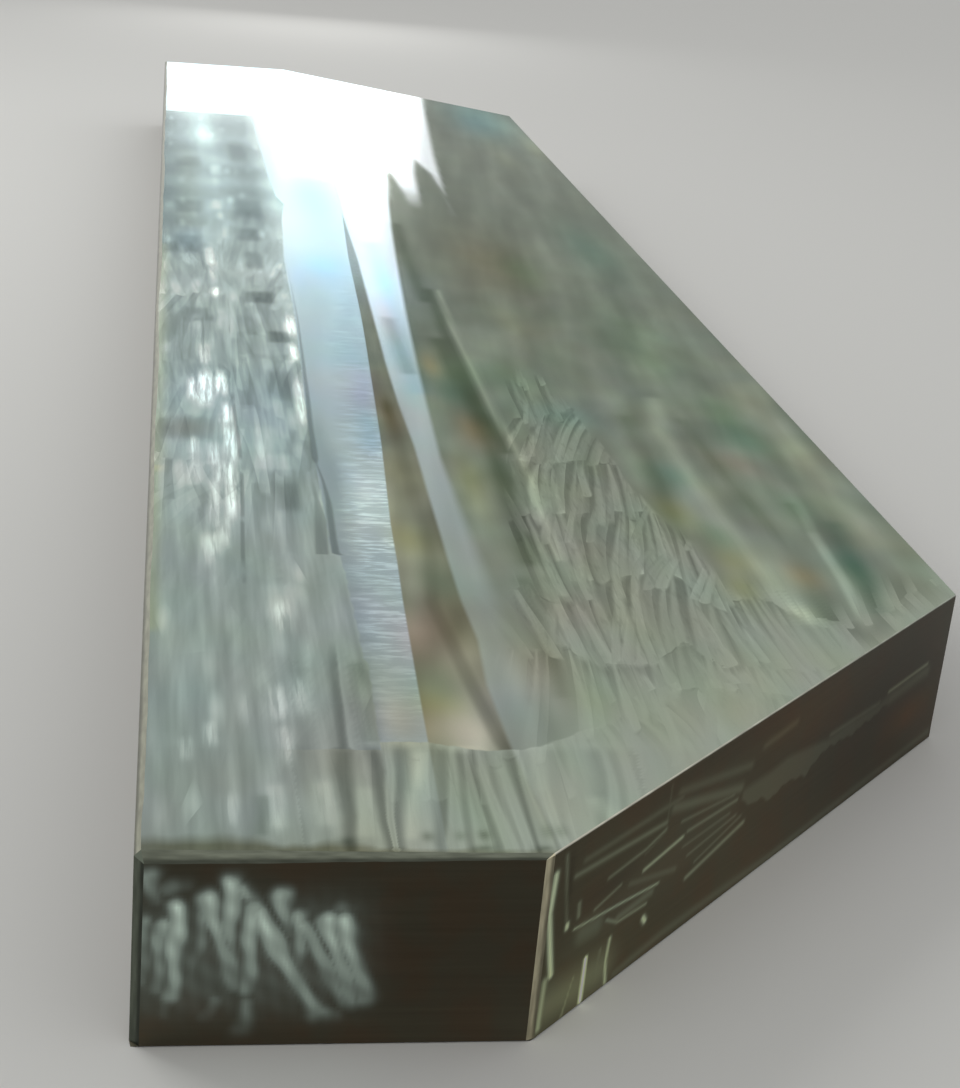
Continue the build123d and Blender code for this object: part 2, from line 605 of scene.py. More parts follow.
# Soft blotches: place, half width and half length in mm, and tint
BLOTCHES = [
    (309, 470, 40, 70, PINK), (300, 340, 34, 50, GREEN), (305, 300, 34, 34, YELLOW),
    (257, 290, 16, 60, CREAM), (330, 240, 50, 34, (1.08, 1.03, 0.99)), (350, 620, 24, 120, GREEN),
    (320, 760, 24, 60, YELLOW), (333, 1029, 16, 60, CREAM), (446, 1541, 18, 70, ORANGE),
    (461, 1400, 26, 90, TEAL), (470, 1220, 24, 90, ORANGE), (435, 990, 22, 120, YELLOW),
    (350, 1261, 16, 90, BROWN), (352, 1300, 12, 70, DARK), (712, 2247, 40, 150, GREEN),
    (898, 2443, 50, 250, TEAL), (900, 4067, 90, 300, CYAN), (863, 3946, 60, 180, BLUE),
    (966, 3907, 40, 200, LIGHT), (998, 3698, 30, 150, LIGHT), (873, 3508, 30, 220, CREAM),
    (982, 3629, 26, 160, CREAM), (350, 2454, 30, 120, LILAC), (313, 2200, 40, 90, CYAN),
    (260, 2076, 20, 130, BLUE), (310, 2137, 50, 130, BLUE), (327, 1440, 26, 90, LILAC),
    (425, 2110, 20, 130, CYAN), (406, 1832, 18, 120, PINK), (398, 1591, 20, 90, CYAN),
    (398, 1381, 20, 90, CYAN), (885, 1340, 34, 110, GREEN), (890, 1200, 34, 80, TEAL),
    (850, 1110, 36, 60, PINK), (732, 1038, 26, 60, TEAL), (700, 900, 26, 60, YELLOW),
    (737, 800, 24, 50, GREEN), (735, 717, 24, 50, YELLOW), (722, 630, 20, 40, YELLOW),
    (887, 932, 30, 60, GREEN), (893, 717, 26, 60, TEAL), (817, 678, 24, 40, ORANGE),
    (780, 563, 22, 24, CREAM), (348, 539, 34, 60, PINK), (430, 390, 34, 90, PINK),
    (465, 300, 24, 80, (0.97, 1.01, 0.97)), (540, 1500, 70, 120, GREEN), (620, 1300, 60, 80, CYAN),
    (60, 1250, 60, 250, BLUE), (170, 1250, 60, 250, BLUE), (60, 2354, 34, 110, BLUE),
    (50, 1175, 40, 55, BROWN), (262, 165, 8, 40, LIGHT), (315, 203, 14, 7, LIGHT), (188, 24, 10, 9, DEEP),
    (261, 33, 6, 9, DEEP), (309, 12, 11, 6, DEEP), (365, 12, 9, 6, DEEP), (373, 42, 5, 13, DARK),
    (386, 43, 5, 11, DARK), (291, 34, 5, 9, DARK), (313, 36, 5, 9, DEEP), (660, 2300, 90, 300, BROWN),
    (840, 1750, 60, 200, GREEN), (640, 1800, 50, 160, WARM), (270, 320, 60, 130, SANDY),
    (290, 930, 28, 90, BRIGHT), (348, 550, 28, 66, (0.77, 0.78, 0.77)), (262, 250, 26, 60, SANDY),
    (236, 1150, 14, 130, FAINT), (246, 1000, 18, 110, FAINT), (330, 265, 60, 90, (1.02, 1.05, 1.12)),
    (315, 1339, 22, 60, HAZY), (318, 1230, 22, 70, ICY), (312, 1140, 24, 60, ICY),
    (900, 4250, 90, 450, (1.06, 1.24, 1.33)), (325, 2900, 70, 320, (0.68, 0.95, 1.0)),
    (450, 2050, 60, 200, (1.10, 1.14, 1.25)), (560, 700, 170, 500, (0.985, 0.965, 0.955)),
    # The last blotch, near white, is a painted glint
    (530, 470, 120, 120, (0.96, 0.94, 0.92)), (108, 3580, 24, 150, (1.7, 1.75, 1.7)),
]

# Soft streaks: points along them, half width in mm, and tint
STREAKS = [
    ([(788, 1403), (764, 1249), (761, 1025), (761, 871), (760, 729), (776, 540)], 15, BRIGHT),
    ([(960, 1500), (955, 1100), (950, 800)], 34, CREAM), ([(915, 860), (898, 736), (878, 575)], 17, MURKY),
    ([(720, 1300), (705, 1000), (690, 800)], 16, FAINT),
    ([(810, 1300), (815, 1000), (825, 760), (805, 540)], 12, FAINT), ([(876, 935), (875, 840)], 11, FAINT),
    ([(521, 2042), (514, 1783), (514, 1502), (515, 1299), (522, 1119), (520, 1001), (508, 709)], 6, BRIGHT),
    ([(505, 2042), (498, 1783), (498, 1502), (499, 1299), (506, 1119)], 12, DARK),
    ([(500, 2600), (489, 2248), (486, 1964)], 14, DARK),
    ([(476, 1700), (486, 1250), (482, 1000), (470, 700)], 16, DARK), ([(405, 1820), (405, 1500)], 14, DARK),
    ([(448, 640), (446, 500), (438, 330)], 11, FAINT), ([(227, 392), (227, 222)], 9, DARK),
    ([(225, 1760), (228, 1540), (219, 1290)], 7, LIGHT),
    ([(318, 1560), (335, 1900), (350, 2500), (370, 3000)], 60, ICY), ([(412, 1400), (430, 2400)], 20, ICY),
    # The two streaks along x = 8 are painted glints by the left edge
    ([(60, 3300), (60, 2500)], 26, CREAM), ([(8, 2300), (8, 1000)], 12, (1.3, 1.24, 1.06)),
    ([(8, 1000), (8, 480)], 10, (1.15, 1.11, 0.93)),
]

# Painted highlights and dark places on the backs of the broad strokes along the near end, as for the
# streaks
NEAR_ROW = [
    ([(116, 100), (114, 70), (111, 40)], 8, DARK), ([(172, 125), (171, 60)], 10, LIGHT),
    ([(212, 115), (207, 40)], 10, LIGHT), ([(255, 110), (247, 36)], 9, LIGHT),
    ([(272, 190), (260, 127)], 9, LIGHT), ([(129, 120), (128, 55)], 9, LIGHT),
    ([(432, 100), (440, 70)], 9, LIGHT),
]

# Blunt dark and pale blocks on the left band: place, half width and half length in mm, and how much lighter
BLOCKS = [
    (207, 1672, 20, 34, -0.34), (192, 1400, 20, 78, -0.18), (180, 905, 17, 54, -0.18),
    (184, 1929, 26, 40, -0.34), (181, 2430, 24, 56, -0.26), (63, 3178, 30, 64, -0.20),
    (184, 3330, 20, 130, -0.18), (63, 2672, 30, 64, -0.20), (188, 2676, 30, 90, -0.20),
    (58, 2318, 30, 70, -0.14), (184, 2212, 17, 70, -0.22), (73, 1795, 28, 44, -0.18),
    (50, 1175, 38, 52, -0.16), (155, 1130, 22, 60, 0.10), (160, 1740, 24, 60, -0.12),
    (128, 3088, 14, 60, 0.18), (121, 2708, 12, 50, 0.16), (100, 2226, 9, 70, 0.4),
    (104, 2090, 10, 90, 0.22), (152, 560, 22, 50, 0.10), (60, 980, 40, 46, 0.10), (170, 1040, 30, 34, 0.14),
    (62, 2450, 34, 46, 0.08),
]

# Painted glints on the left band: place, half width and half length in mm, and strength
PAINTED_GLINTS = [
    (79, 1370, 12, 85, 1.0), (104, 1400, 11, 60, 1.0), (61, 1366, 7, 60, 0.8), (59, 1096, 6, 40, 0.5),
    (58, 1000, 6, 60, 0.4), (88, 1063, 7, 50, 0.6), (92, 981, 6, 40, 0.6), (87, 903, 7, 60, 0.6),
    (84, 829, 7, 45, 0.6), (107, 894, 8, 70, 0.7), (111, 1102, 8, 90, 0.8), (110, 1245, 7, 50, 0.8),
    (103, 1190, 7, 50, 0.6), (82, 730, 6, 40, 0.4), (95, 770, 6, 50, 0.5), (224, 1579, 7, 50, 0.8),
    (224, 1345, 6, 80, 0.6), (219, 1259, 6, 50, 0.5), (107, 980, 8, 60, 0.8), (228, 1740, 7, 60, 1.0),
    (107, 1952, 7, 34, 1.0), (80, 1560, 10, 60, 0.5), (142, 210, 7, 40, 0.35), (139, 300, 9, 40, 0.4),
    (162, 316, 8, 45, 0.3), (70, 229, 7, 26, 0.3), (45, 198, 7, 24, 0.25), (85, 80, 9, 30, 0.2),
    (126, 79, 8, 45, 0.2), (173, 97, 9, 50, 0.25), (154, 520, 9, 45, 0.4), (74, 713, 8, 50, 0.3),
    (89, 744, 7, 50, 0.3), (250, 120, 8, 60, 0.3),
]


def soft_tint(x, y):
    """Gains on red, green and blue that blotches and streaks lay over the top."""
    gains = np.ones((len(x), 3)) * np.interp(y, [0, 1000, 2600], [1.0, 0.98, 0.94])[:, None]

    # Left band: warmer near the front, and darker further on beside a lighter ridge
    left = np.clip((250 - x) / 40, 0, 1)[:, None]
    front = np.clip(1 - y / 1200, 0, 1)[:, None]
    gains *= 1 + left * front * (np.array((0.90, 0.87, 0.85)) - 1)
    left = left * (y < FAR_BAND_START)[:, None]
    darker = np.interp(y, [900, 1300, 1900, 2300, 3000, 3700], [1, 0.93, 0.96, 0.92, 0.80, 0.66])
    gains *= 1 + left * (darker - 1)[:, None]
    ridge = 1 + 0.7 * np.exp(-((x - np.interp(y, [3200, 3600], [118, 92])) / 44) ** 2)
    gains *= 1 + left * (np.interp(y, [2100, 2500], [0, 1]) * (0.72 * ridge - 1))[:, None]
    gains *= 1 + left * np.interp(y, [2100, 2700], [0, 1])[:, None] * (np.array((0.92, 0.99, 1.02)) - 1)

    for across, along, wide, long, tint in BLOTCHES:
        share = np.exp(-((x - across) / wide) ** 2 - ((y - along) / long) ** 2)
        gains *= 1 + share[:, None] * (np.array(tint) - 1)

    # Darker fringe along the near edge
    fringe = np.interp(x, [0, 40, 105, 130, 152, 168, 190, 215, 240, 370],
                       [34, 38, 38, 20, 20, 29, 28, 15, 14, 9])
    fringe += 3 * np.sin(x / 7) * np.sin(x / 17)
    share = np.clip((fringe - y) / (0.55 * fringe), 0, 1)
    share = share * np.interp(x, [0, 30, 190, 240], [0.8, 1, 1, 0.7])
    gains *= 1 - share[:, None] * np.array((0.50, 0.54, 0.63))

    for points, wide, tint in STREAKS + NEAR_ROW:
        share = np.exp(-(line_distance(x, y, points) / wide) ** 2)
        gains *= 1 + share[:, None] * (np.array(tint) - 1)
    return gains


def block_shade(x, y):
    """How much lighter or darker the blunt blocks make a place."""
    shade = np.zeros(len(x))
    for across, along, wide, long, lighter in BLOCKS:
        shade += lighter * np.exp(-((x - across) / wide) ** 6 - ((y - along) / long) ** 6)
    return shade


def painted_glint_strength(x, y):
    """How strong the painted glint is at each place, 0 to 1."""
    strength = np.zeros(len(x))
    for across, along, wide, long, power in PAINTED_GLINTS:
        strength = np.maximum(strength,
                              power * np.exp(-((x - across) / wide) ** 2 - ((y - along) / long) ** 4))
    return strength


# Strokes of the grinder on the near end, in mm from its left edge and up from the underside:
# each starts bright at its head and fades towards its tail
NEAR_STROKES = [
    ((14, 178), (19, 154), 0.6), ((33, 166), (43, 168), 0.4), ((9, 131), (11, 70), 0.55),
    ((26, 128), (24, 62), 0.65), ((39, 146), (37, 54), 1.0), ((38, 56), (30, 38), 0.3),
    ((65, 156), (93, 64), 0.85), ((66, 146), (54, 74), 0.5), ((86, 171), (85, 96), 0.95),
    ((95, 164), (112, 146), 0.6), ((105, 145), (104, 60), 0.9), ((109, 140), (167, 36), 1.0),
    ((166, 37), (182, 34), 0.45), ((130, 158), (139, 120), 0.8), ((148, 137), (147, 80), 0.7),
    ((151, 127), (193, 48), 0.75), ((172, 133), (199, 47), 0.95), ((185, 133), (211, 50), 0.95),
    ((181, 145), (193, 144), 0.4), ((74, 50), (68, 34), 0.3), ((105, 46), (100, 20), 0.4),
    ((120, 120), (124, 60), 0.35), ((75, 120), (76, 66), 0.3),
]
STROKE_HALF_WIDTH = 9.4


def bared_near_end(x, z):
    """How far the grinder has bared the near end, 0 to 1."""
    bared = 0.22 * np.exp(-((x - 100) / 112) ** 6 - ((z - 98) / 62) ** 4)
    uneven = 1 + 0.20 * np.sin(x / 3.4 + z / 6.1) * np.sin(x / 7.3 - z / 11.0)
    x = x + 1.9 * np.sin(z / 9.0 + x / 13.0)
    for head, tail, strength in NEAR_STROKES:
        ax, az = head
        bx, bz = tail
        run = (bx - ax) ** 2 + (bz - az) ** 2
        part = np.clip(((x - ax) * (bx - ax) + (z - az) * (bz - az)) / run, 0, 1)
        away = np.hypot(x - ax - part * (bx - ax), z - az - part * (bz - az)) / STROKE_HALF_WIDTH
        bared = np.maximum(bared, strength * (1 - 0.55 * part) * np.exp(-away ** 2))
    return bared * uneven


# Bared marks and painted glints on the near cut: points in mm from its near corner and up from the
# underside, half width, strength
CUT_MARKS_AND_GLINTS = [
    ([(45, 159), (208, 150)], 3.5, 0.26), ([(60, 170), (235, 168)], 4, 0.15),
    ([(107, 130), (173, 134), (210, 142)], 2.5, 0.28), ([(87, 104), (133, 112)], 2.5, 0.3),
    ([(150, 105), (239, 84)], 5, 0.17), ([(174, 110), (247, 118)], 3, 0.5),
    ([(265, 62), (381, 81)], 3.5, 0.34), ([(221, 161), (363, 129)], 7, 0.2),
    ([(255, 121), (358, 117)], 3, 0.28), ([(240, 138), (350, 126)], 2.5, 0.22),
    ([(250, 105), (345, 106)], 2.5, 0.2), ([(262, 90), (360, 98)], 2.5, 0.22),
    ([(280, 75), (372, 92)], 2.5, 0.2), ([(230, 176), (380, 150)], 6, 0.14),
    ([(53, 98), (130, 90), (208, 81)], 2, 0.5), ([(113, 81), (134, 69), (188, 66)], 2.5, 0.36),
    ([(134, 74), (196, 76)], 6, 0.22), ([(70, 86), (95, 84)], 15, 0.2), ([(82, 52), (81, 5)], 3.2, 1.5),
    ([(124, 55), (121, 30), (125, 4)], 3.5, 0.6), ([(108, 50), (104, 14)], 4, 0.25),
    ([(11, 175), (7, 134), (14, 97), (21, 63)], 4.5, 0.95), ([(12, 60), (9, 10)], 6, 0.5),
    ([(40, 109), (40, 106)], 3.5, 1.0), ([(186, 50), (190, 45)], 4, 0.8), ([(26, 189), (39, 108)], 3, 0.26),
    ([(49, 4), (63, 40)], 3, 0.35), ([(58, 124), (59, 110)], 3.5, 0.35),
    ([(140, 7), (232, 12), (343, 10), (460, 6), (880, 12)], 6, 0.14), ([(20, 30), (110, 26)], 28, 0.24),
    ([(726, 120), (836, 122)], 3, 0.42), ([(735, 108), (838, 112)], 9, 0.2),
    ([(575, 116), (702, 113)], 4, 0.2), ([(407, 163), (477, 167)], 5, 0.13),
    ([(210, 191), (209, 139), (172, 128)], 2, 0.12), ([(60, 60), (180, 100), (330, 110)], 40, 0.06),
]


def bared_near_cut(s, z):
    """How far the near cut is bared, 0 to 1, at s mm from its near corner, with painted glints by that
    corner.
    """
    lower = np.interp(s, [369, 398, 414, 439, 463, 479, 522, 537, 579, 626, 678, 727, 845],
                      [110, 94, 95, 85, 88, 93, 81, 92, 100, 94, 97, 102, 104])
    upper = np.interp(s, [368, 430, 472, 536, 575, 621, 702, 726, 845],
                      [129, 128, 131, 123, 117, 119, 115, 121, 123])
    ragged = lower + 2.5 * np.sin(s / 5.0) * np.sin(s / 13.0)
    band = np.clip((z - ragged) / 3, 0, 1) * np.clip((upper - z) / 9, 0, 1)
    bared = 0.15 * band * np.clip((s - 366) / 6, 0, 1) * np.clip((850 - s) / 10, 0, 1)
    for points, half, strength in CUT_MARKS_AND_GLINTS:
        bared = np.maximum(bared, strength * np.exp(-(line_distance(s, z, points) / half) ** 2))
    return bared


# Tints of the near cut: place, half length and half height in mm, and gains on red, green and blue
CUT_TINTS = [
    (150, 110, 260, 160, (1.45, 1.40, 1.22)), (430, 90, 120, 90, (1.22, 1.14, 1.04)),
    (60, 30, 80, 60, (1.10, 1.05, 0.92)), (780, 100, 210, 140, (0.53, 0.47, 0.35)),
    (545, 165, 90, 34, (1.28, 1.02, 0.80)), (800, 68, 62, 22, (2.1, 1.35, 0.72)),
    (440, 176, 60, 30, (1.12, 0.95, 0.80)), (290, 190, 160, 14, (0.92, 0.84, 0.78)),
    (870, 150, 40, 50, (1.1, 1.15, 1.2)), (120, 84, 80, 18, (0.94, 1.0, 1.10)),
    (36, 150, 5, 36, (0.62, 0.58, 0.52)), (120, 120, 60, 14, (0.82, 0.80, 0.80)),
]


# How far from a side's plane a vertex still counts as being in it
IN_PLANE = 0.01


def on_near_end(y):
    """Whether each place is in the plane of the near end."""
    return np.abs(y) < IN_PLANE


def on_near_cut(x, y):
    """Whether each place is in the plane of the near cut."""
    return np.abs(x - NEAR_END_WIDTH - y) < IN_PLANE


def side_tint(x, y, z):
    """Gains on red, green and blue for the film on the sides."""
    lighter_foot = np.interp(z, [0, 22, 60, 120, 200], [1.75, 1.7, 1.36, 1.18, 1.14])
    gains = np.ones((len(x), 3)) * lighter_foot[:, None]
    on_cut = on_near_cut(x, y)
    s = y * math.sqrt(2)
    gains *= 1 + on_cut[:, None] * (np.array((1.0, 0.98, 0.82)) - 1)
    for along, up, long, high, tint in CUT_TINTS:
        share = on_cut * np.exp(-((s - along) / long) ** 2 - ((z - up) / high) ** 2)
        gains *= 1 + share[:, None] * (np.array(tint) - 1)
    return gains


# Fields of the worked top that hold one number at each place
TOP_FIELDS = (
    "past_band", "past_bright_lane", "past_wedge", "past_pale_lane", "past_band_seam", "past_crease",
    "past_smear", "past_streak", "in_patch", "left_row", "middle_row", "right_row", "lean", "contrast",
    "far_glare_lanes", "blocks", "painted_glints", "seam_half", "seam_middle", "gap_number", "gap_darkness", "gap_half",
)


def surface_fields(points):
    """Values at every vertex that steer the materials."""
    x = points[:, 0] - low.x
    y = points[:, 1] - low.y
    z = points[:, 2]
    pale_edge_sharpness = 1 / np.interp(y, [600, 1100], [3.0, 1.0])
    right_ends = [np.interp(x, *zip(*end)) for end in RIGHT_ROW_ENDS]
    seam_half, seam_middle = dark_seam(y)
    gap_number, gap_darkness, gap_half = near_gaps(x, y)
    on_near = on_near_end(y)
    on_cut = on_near_cut(x, y)
    bared = np.zeros_like(x)
    bared[on_near] = bared_near_end(x[on_near], z[on_near])
    bared[on_cut] = bared_near_cut(y[on_cut] * math.sqrt(2), z[on_cut])
    return {
        "past_band": x - ground_band_edge(y),
        "past_bright_lane": x - bright_lane_edge(y),
        "past_wedge": x - dark_wedge_edge(y),
        "past_pale_lane": (x - pale_lane_edge(y)) * pale_edge_sharpness,
        "in_patch": hand_patch_reach(x, y),
        "past_band_seam": x - band_seam(y),
        "left_row": row_number(y, LEFT_ROW_ENDS),
        "middle_row": row_number(y, MIDDLE_ROW_ENDS),
        "right_row": row_number(y, right_ends),
        "lean": stroke_lean(x, y),
        "contrast": stroke_contrast(x, y),
        "far_glare_lanes": far_glare_lanes(x, y),
        "blocks": block_shade(x, y),
        "painted_glints": painted_glint_strength(x, y),
        "seam_half": seam_half,
        "seam_middle": seam_middle,
        "past_crease": x - crease(y),
        "gap_number": gap_number,
        "gap_darkness": gap_darkness,
        "gap_half": gap_half,
        "past_smear": seam_smear(x, y),
        "past_streak": bright_streak(x, y),
        "soft_tint": soft_tint(x, y),
        "bared": bared,
        "side_tint": side_tint(x, y, z),
    }


# Colours of the bevels, by the edge that they run along, with painted light and shade: lighter on the edges
# that catch the light, darker on those in shade. The last one is for faces that aren't bevels.
LIT_BEVEL_COLOURS = {
    "near rim": "62665a",
    "near cut rim": "b4b1a3",
    "left rim": "8c8d7b",
    "left corner": "5c6257",
    "cut corner": "bdb69c",
    "underside rim": "3c3a2f",
    "": "000000",
}

# What the near cut's rim turns to at its far end, where its painted highlight fades out
CUT_RIM_FAR = "868c80"


def lit_bevel_colours(shell, plain):
    """Linear colour of every face's bevel, by the edge that it runs along, with painted light and shade."""
    worked = {edge: linear(code) for edge, code in LIT_BEVEL_COLOURS.items()}
    codes = {edge: (*worked.get(edge, plain), 1) for edge in set(shell.edges)}
    colours = np.array([codes[edge] for edge in shell.edges])
    along = np.array([shell.points[face[0]][0] for face in shell.faces]) - NEAR_CUT[0]
    part = np.clip(along / (NEAR_SIDE[0] - NEAR_CUT[0]), 0, 1)[:, None]
    on_cut = np.array([edge == "near cut rim" for edge in shell.edges])[:, None]
    far_tone = np.array((*linear(CUT_RIM_FAR), 1))
    return colours + on_cut * part * (far_tone - colours)


def node(tree, kind, inputs=(), **settings):
    """Adds a node with its settings and links.

    Inputs are values, sockets, or nodes for their first usable output. They are given by
    name, or in the order of the node's usable sockets.
    """
    new = tree.nodes.new(kind if kind.startswith("NodeGroup") else "ShaderNode" + kind)
    for name, value in settings.items():
        setattr(new, name, value)
    sockets = [socket for socket in new.inputs if socket.enabled]
    pairs = inputs.items() if isinstance(inputs, dict) else enumerate(inputs)
    for place, value in pairs:
        socket = sockets[place] if isinstance(place, int) else new.inputs[place]
        if isinstance(value, bpy.types.Node):
            value = next(output for output in value.outputs if output.enabled)
        if isinstance(value, bpy.types.NodeSocket):
            tree.links.new(value, socket)
        else:
            socket.default_value = value
    return new


def pattern(name, takes, gives):
    """An empty node group with its sockets, and the node that hands in what it takes."""
    group = bpy.data.node_groups.new(name, "ShaderNodeTree")
    for way, sockets in (("INPUT", takes), ("OUTPUT", gives)):
        for socket, kind in sockets.items():
            group.interface.new_socket(name=socket, in_out=way, socket_type="NodeSocket" + kind)
    return group, node(group, "NodeGroupInput").outputs


# How far a stroke's sides waver, in mm
STROKE_WAVER = 2.2

# What a row of strokes takes apart from a place and a row
STROKE_INPUTS = ("Straight", "Width", "Length", "Lean", "Taper", "Share")

# Dark colour of the seams, painted glare on the short far lanes, and what each finish turns to at low
# angles
SEAM_DARK = "4b544f"
FAR_LANE_PAINTED_GLARE = "e8f2f4"
BAND_AT_LOW_ANGLE = "f0fafa"
LANE_AT_LOW_ANGLE = "ecf8fb"
WEDGE_AT_LOW_ANGLE = "b6b8b2"
PALE_AT_LOW_ANGLE = "f2f8fa"
MILLED_AT_LOW_ANGLE = "babdb8"


def mottle(tree, place, across, along, detail, **more):
    """Noise from 0 to 1 in patches of a size in mm, and its colours, which are three such noises."""
    patches = node(tree, "VectorMath", (place, (1 / across, 1 / along, 0)), operation="MULTIPLY")
    sockets = {"Vector": patches, "Scale": 1, "Detail": detail, **more}
    return node(tree, "TexNoise", sockets, noise_dimensions="2D").outputs


def unevenness(tree, place, across, along, detail):
    """Noise on both sides of zero in patches of a size in mm."""
    noise_here = mottle(tree, place, across, along, detail)["Fac"]
    return node(tree, "Math", (noise_here, 0.5), operation="SUBTRACT")


def shaded(tree, colour, shade, strength):
    """A colour made lighter where a shade is above 0.5 and darker where it is below."""
    power = node(tree, "Math", (shade, strength, -strength / 2), operation="MULTIPLY_ADD")
    gain = node(tree, "Math", (power,), operation="EXPONENT")
    return node(tree, "VectorMath", {0: tuple(colour), "Scale": gain}, operation="SCALE")


def row_of_strokes():
    """One row of grinder strokes side by side, each a blade with its own width, lean, tone and ragged end.

    Row is the row's number, and Height how far up it a place is, from 0 to 1. Straight counts
    rows as Row and Height together do, but without their waves, so that the strokes stay straight.
    Tone runs from about -0.5, dark, to 0.5, light. Relief is in millimetres.
    """
    group, given = pattern(
        "row_of_strokes",
        {"Place": "Vector", **dict.fromkeys(("Row", "Height", *STROKE_INPUTS), "Float")},
        {**dict.fromkeys(("Tone", "Relief", "Cover", "End"), "Float"), "Random": "Vector"},
    )
    x = node(group, "SeparateXYZ", (given["Place"],)).outputs["X"]
    up = node(group, "Math", (given["Straight"], given["Row"]), operation="SUBTRACT")
    rise = node(group, "Math", (up, given["Length"]), operation="MULTIPLY")
    slimmer = node(group, "MapRange", (given["Row"], 0, 1, 1, 0.76))
    width = node(group, "Math", (given["Width"], slimmer), operation="MULTIPLY")

    # Strokes are straight, and neighbours lean much alike
    far = node(group, "Math", (x, 1 / 190), operation="MULTIPLY")
    apart = node(group, "Math", (given["Row"], 7.3), operation="MULTIPLY")
    swing = node(group, "CombineXYZ", (far, apart))
    swing = node(group, "TexNoise", (swing, 1, 0), noise_dimensions="2D")
    lean = node(group, "Math", (swing, 0.7, -0.35), operation="MULTIPLY_ADD")
    lean = node(group, "Math", (lean, given["Lean"]), operation="ADD")
    drift = node(group, "Math", (rise, lean), operation="MULTIPLY")
    bent = node(group, "Math", (x, drift), operation="SUBTRACT")
    columns = node(group, "Math", (bent, width), operation="DIVIDE")
    columns = node(group, "Math", (given["Row"], 53.7, columns), operation="MULTIPLY_ADD")
    cells = node(group, "TexVoronoi", {"W": columns, "Scale": 1, "Randomness": 0.9},
                 voronoi_dimensions="1D")
    across = node(group, "Math", (columns, cells.outputs["W"]), operation="SUBTRACT")
    dice = node(group, "SeparateXYZ", (cells.outputs["Color"],))
    first, second, third = (dice.outputs[axis] for axis in "XYZ")
    turned = node(group, "Math", (third, 1.1, -0.55), operation="MULTIPLY_ADD")
    across = node(group, "Math", (turned, up, across), operation="MULTIPLY_ADD")

    # Rounded ends, a few of which hang well past their row
    round_end = node(group, "Math", (across, across), operation="MULTIPLY")
    end = node(group, "Math", (round_end, 0.12, -0.01), operation="MULTIPLY_ADD")
    overshoot = node(group, "Math", (first, 3), operation="POWER")
    end = node(group, "Math", (overshoot, -0.3, end), operation="MULTIPLY_ADD")
    reach = node(group, "Math", (given["Height"], end), operation="SUBTRACT")

    # Fine light and dark lines along the strokes, which differ from row to row
    fine = node(group, "Math", (columns, 2), operation="MULTIPLY")
    fading = node(group, "Math", (up, 0.8), operation="MULTIPLY")
    lines = node(group, "CombineXYZ", (fine, fading))
    lines = node(group, "TexNoise", (lines, 1, 3, 0.6), noise_dimensions="2D")
    lines = node(group, "Math", (lines, 0.5), operation="SUBTRACT")

    # Each blade is broad at its near end and pointed at its far one, with dark between blades
    slim = node(group, "Math", (reach, given["Taper"]), operation="MULTIPLY")
    broad = node(group, "Math", (second, 0.18, 0.46), operation="MULTIPLY_ADD")
    broad = node(group, "Math", (broad, slim), operation="SUBTRACT")
    off = node(group, "Math", (across,), operation="ABSOLUTE")
    rim = node(group, "Math", (broad, off), operation="SUBTRACT")
    rim = node(group, "Math", (lines, 0.14, rim), operation="MULTIPLY_ADD")
    blade = node(group, "MapRange", (rim, -0.2, 0.19), interpolation_type="SMOOTHSTEP")
    depth = node(group, "MapRange", (reach, 0, 1, -0.14, -0.38))
    body = node(group, "Math", (second, 0.26, -0.03), operation="MULTIPLY_ADD")
    body = node(group, "Mix", (blade, depth, body))

    # Tone: painted shade across the hollow stroke, one side lighter than the other, a light hook at the end
    # and a bright line along one rim
    flare = node(group, "MapRange", (reach, 0, 0.1, 1, 0), interpolation_type="SMOOTHSTEP")
    flare = node(group, "Math", (flare, third), operation="MULTIPLY")
    hook = node(group, "Math", (flare, third), operation="MULTIPLY")
    side = node(group, "Math", (third, 0.6, -0.18), operation="MULTIPLY_ADD")
    bright_rim = node(group, "Math", (rim,), operation="ABSOLUTE")
    bright_rim = node(group, "MapRange", (bright_rim, 0, 0.11, 0.05, 0), interpolation_type="SMOOTHSTEP")
    one_side = node(group, "Math", (across, 0), operation="GREATER_THAN")
    bright_rim = node(group, "Math", (bright_rim, one_side), operation="MULTIPLY")
    tone = body
    for part, weight in ((across, side), (hook, 0.13), (bright_rim, first), (lines, 0.24)):
        tone = node(group, "Math", (part, weight, tone), operation="MULTIPLY_ADD")

    # Shallow hollow across each stroke, and a lip at its end
    tilt = node(group, "Math", (first, 0.5), operation="SUBTRACT")
    tilt = node(group, "Math", (tilt, across), operation="MULTIPLY")
    relief = 0
    for part, weight in ((tilt, 0.22), (blade, 0.03), (flare, 0.06), (lines, 0.02)):
        relief = node(group, "Math", (part, weight, relief), operation="MULTIPLY_ADD")

    # Cover is for loose strokes that lie over others: only some are there, with soft rims
    cover = node(group, "Math", (first, given["Share"]), operation="LESS_THAN")
    head = node(group, "MapRange", (reach, 0.95, 0.45), interpolation_type="SMOOTHSTEP")
    tail = node(group, "MapRange", (reach, 0, 0.03))
    for part in (blade, head, tail):
        cover = node(group, "Math", (cover, part), operation="MULTIPLY")
    node(group, "NodeGroupOutput", {"Tone": tone, "Relief": relief, "Cover": cover, "End": end,
                                    "Random": cells.outputs["Color"]})
    return group


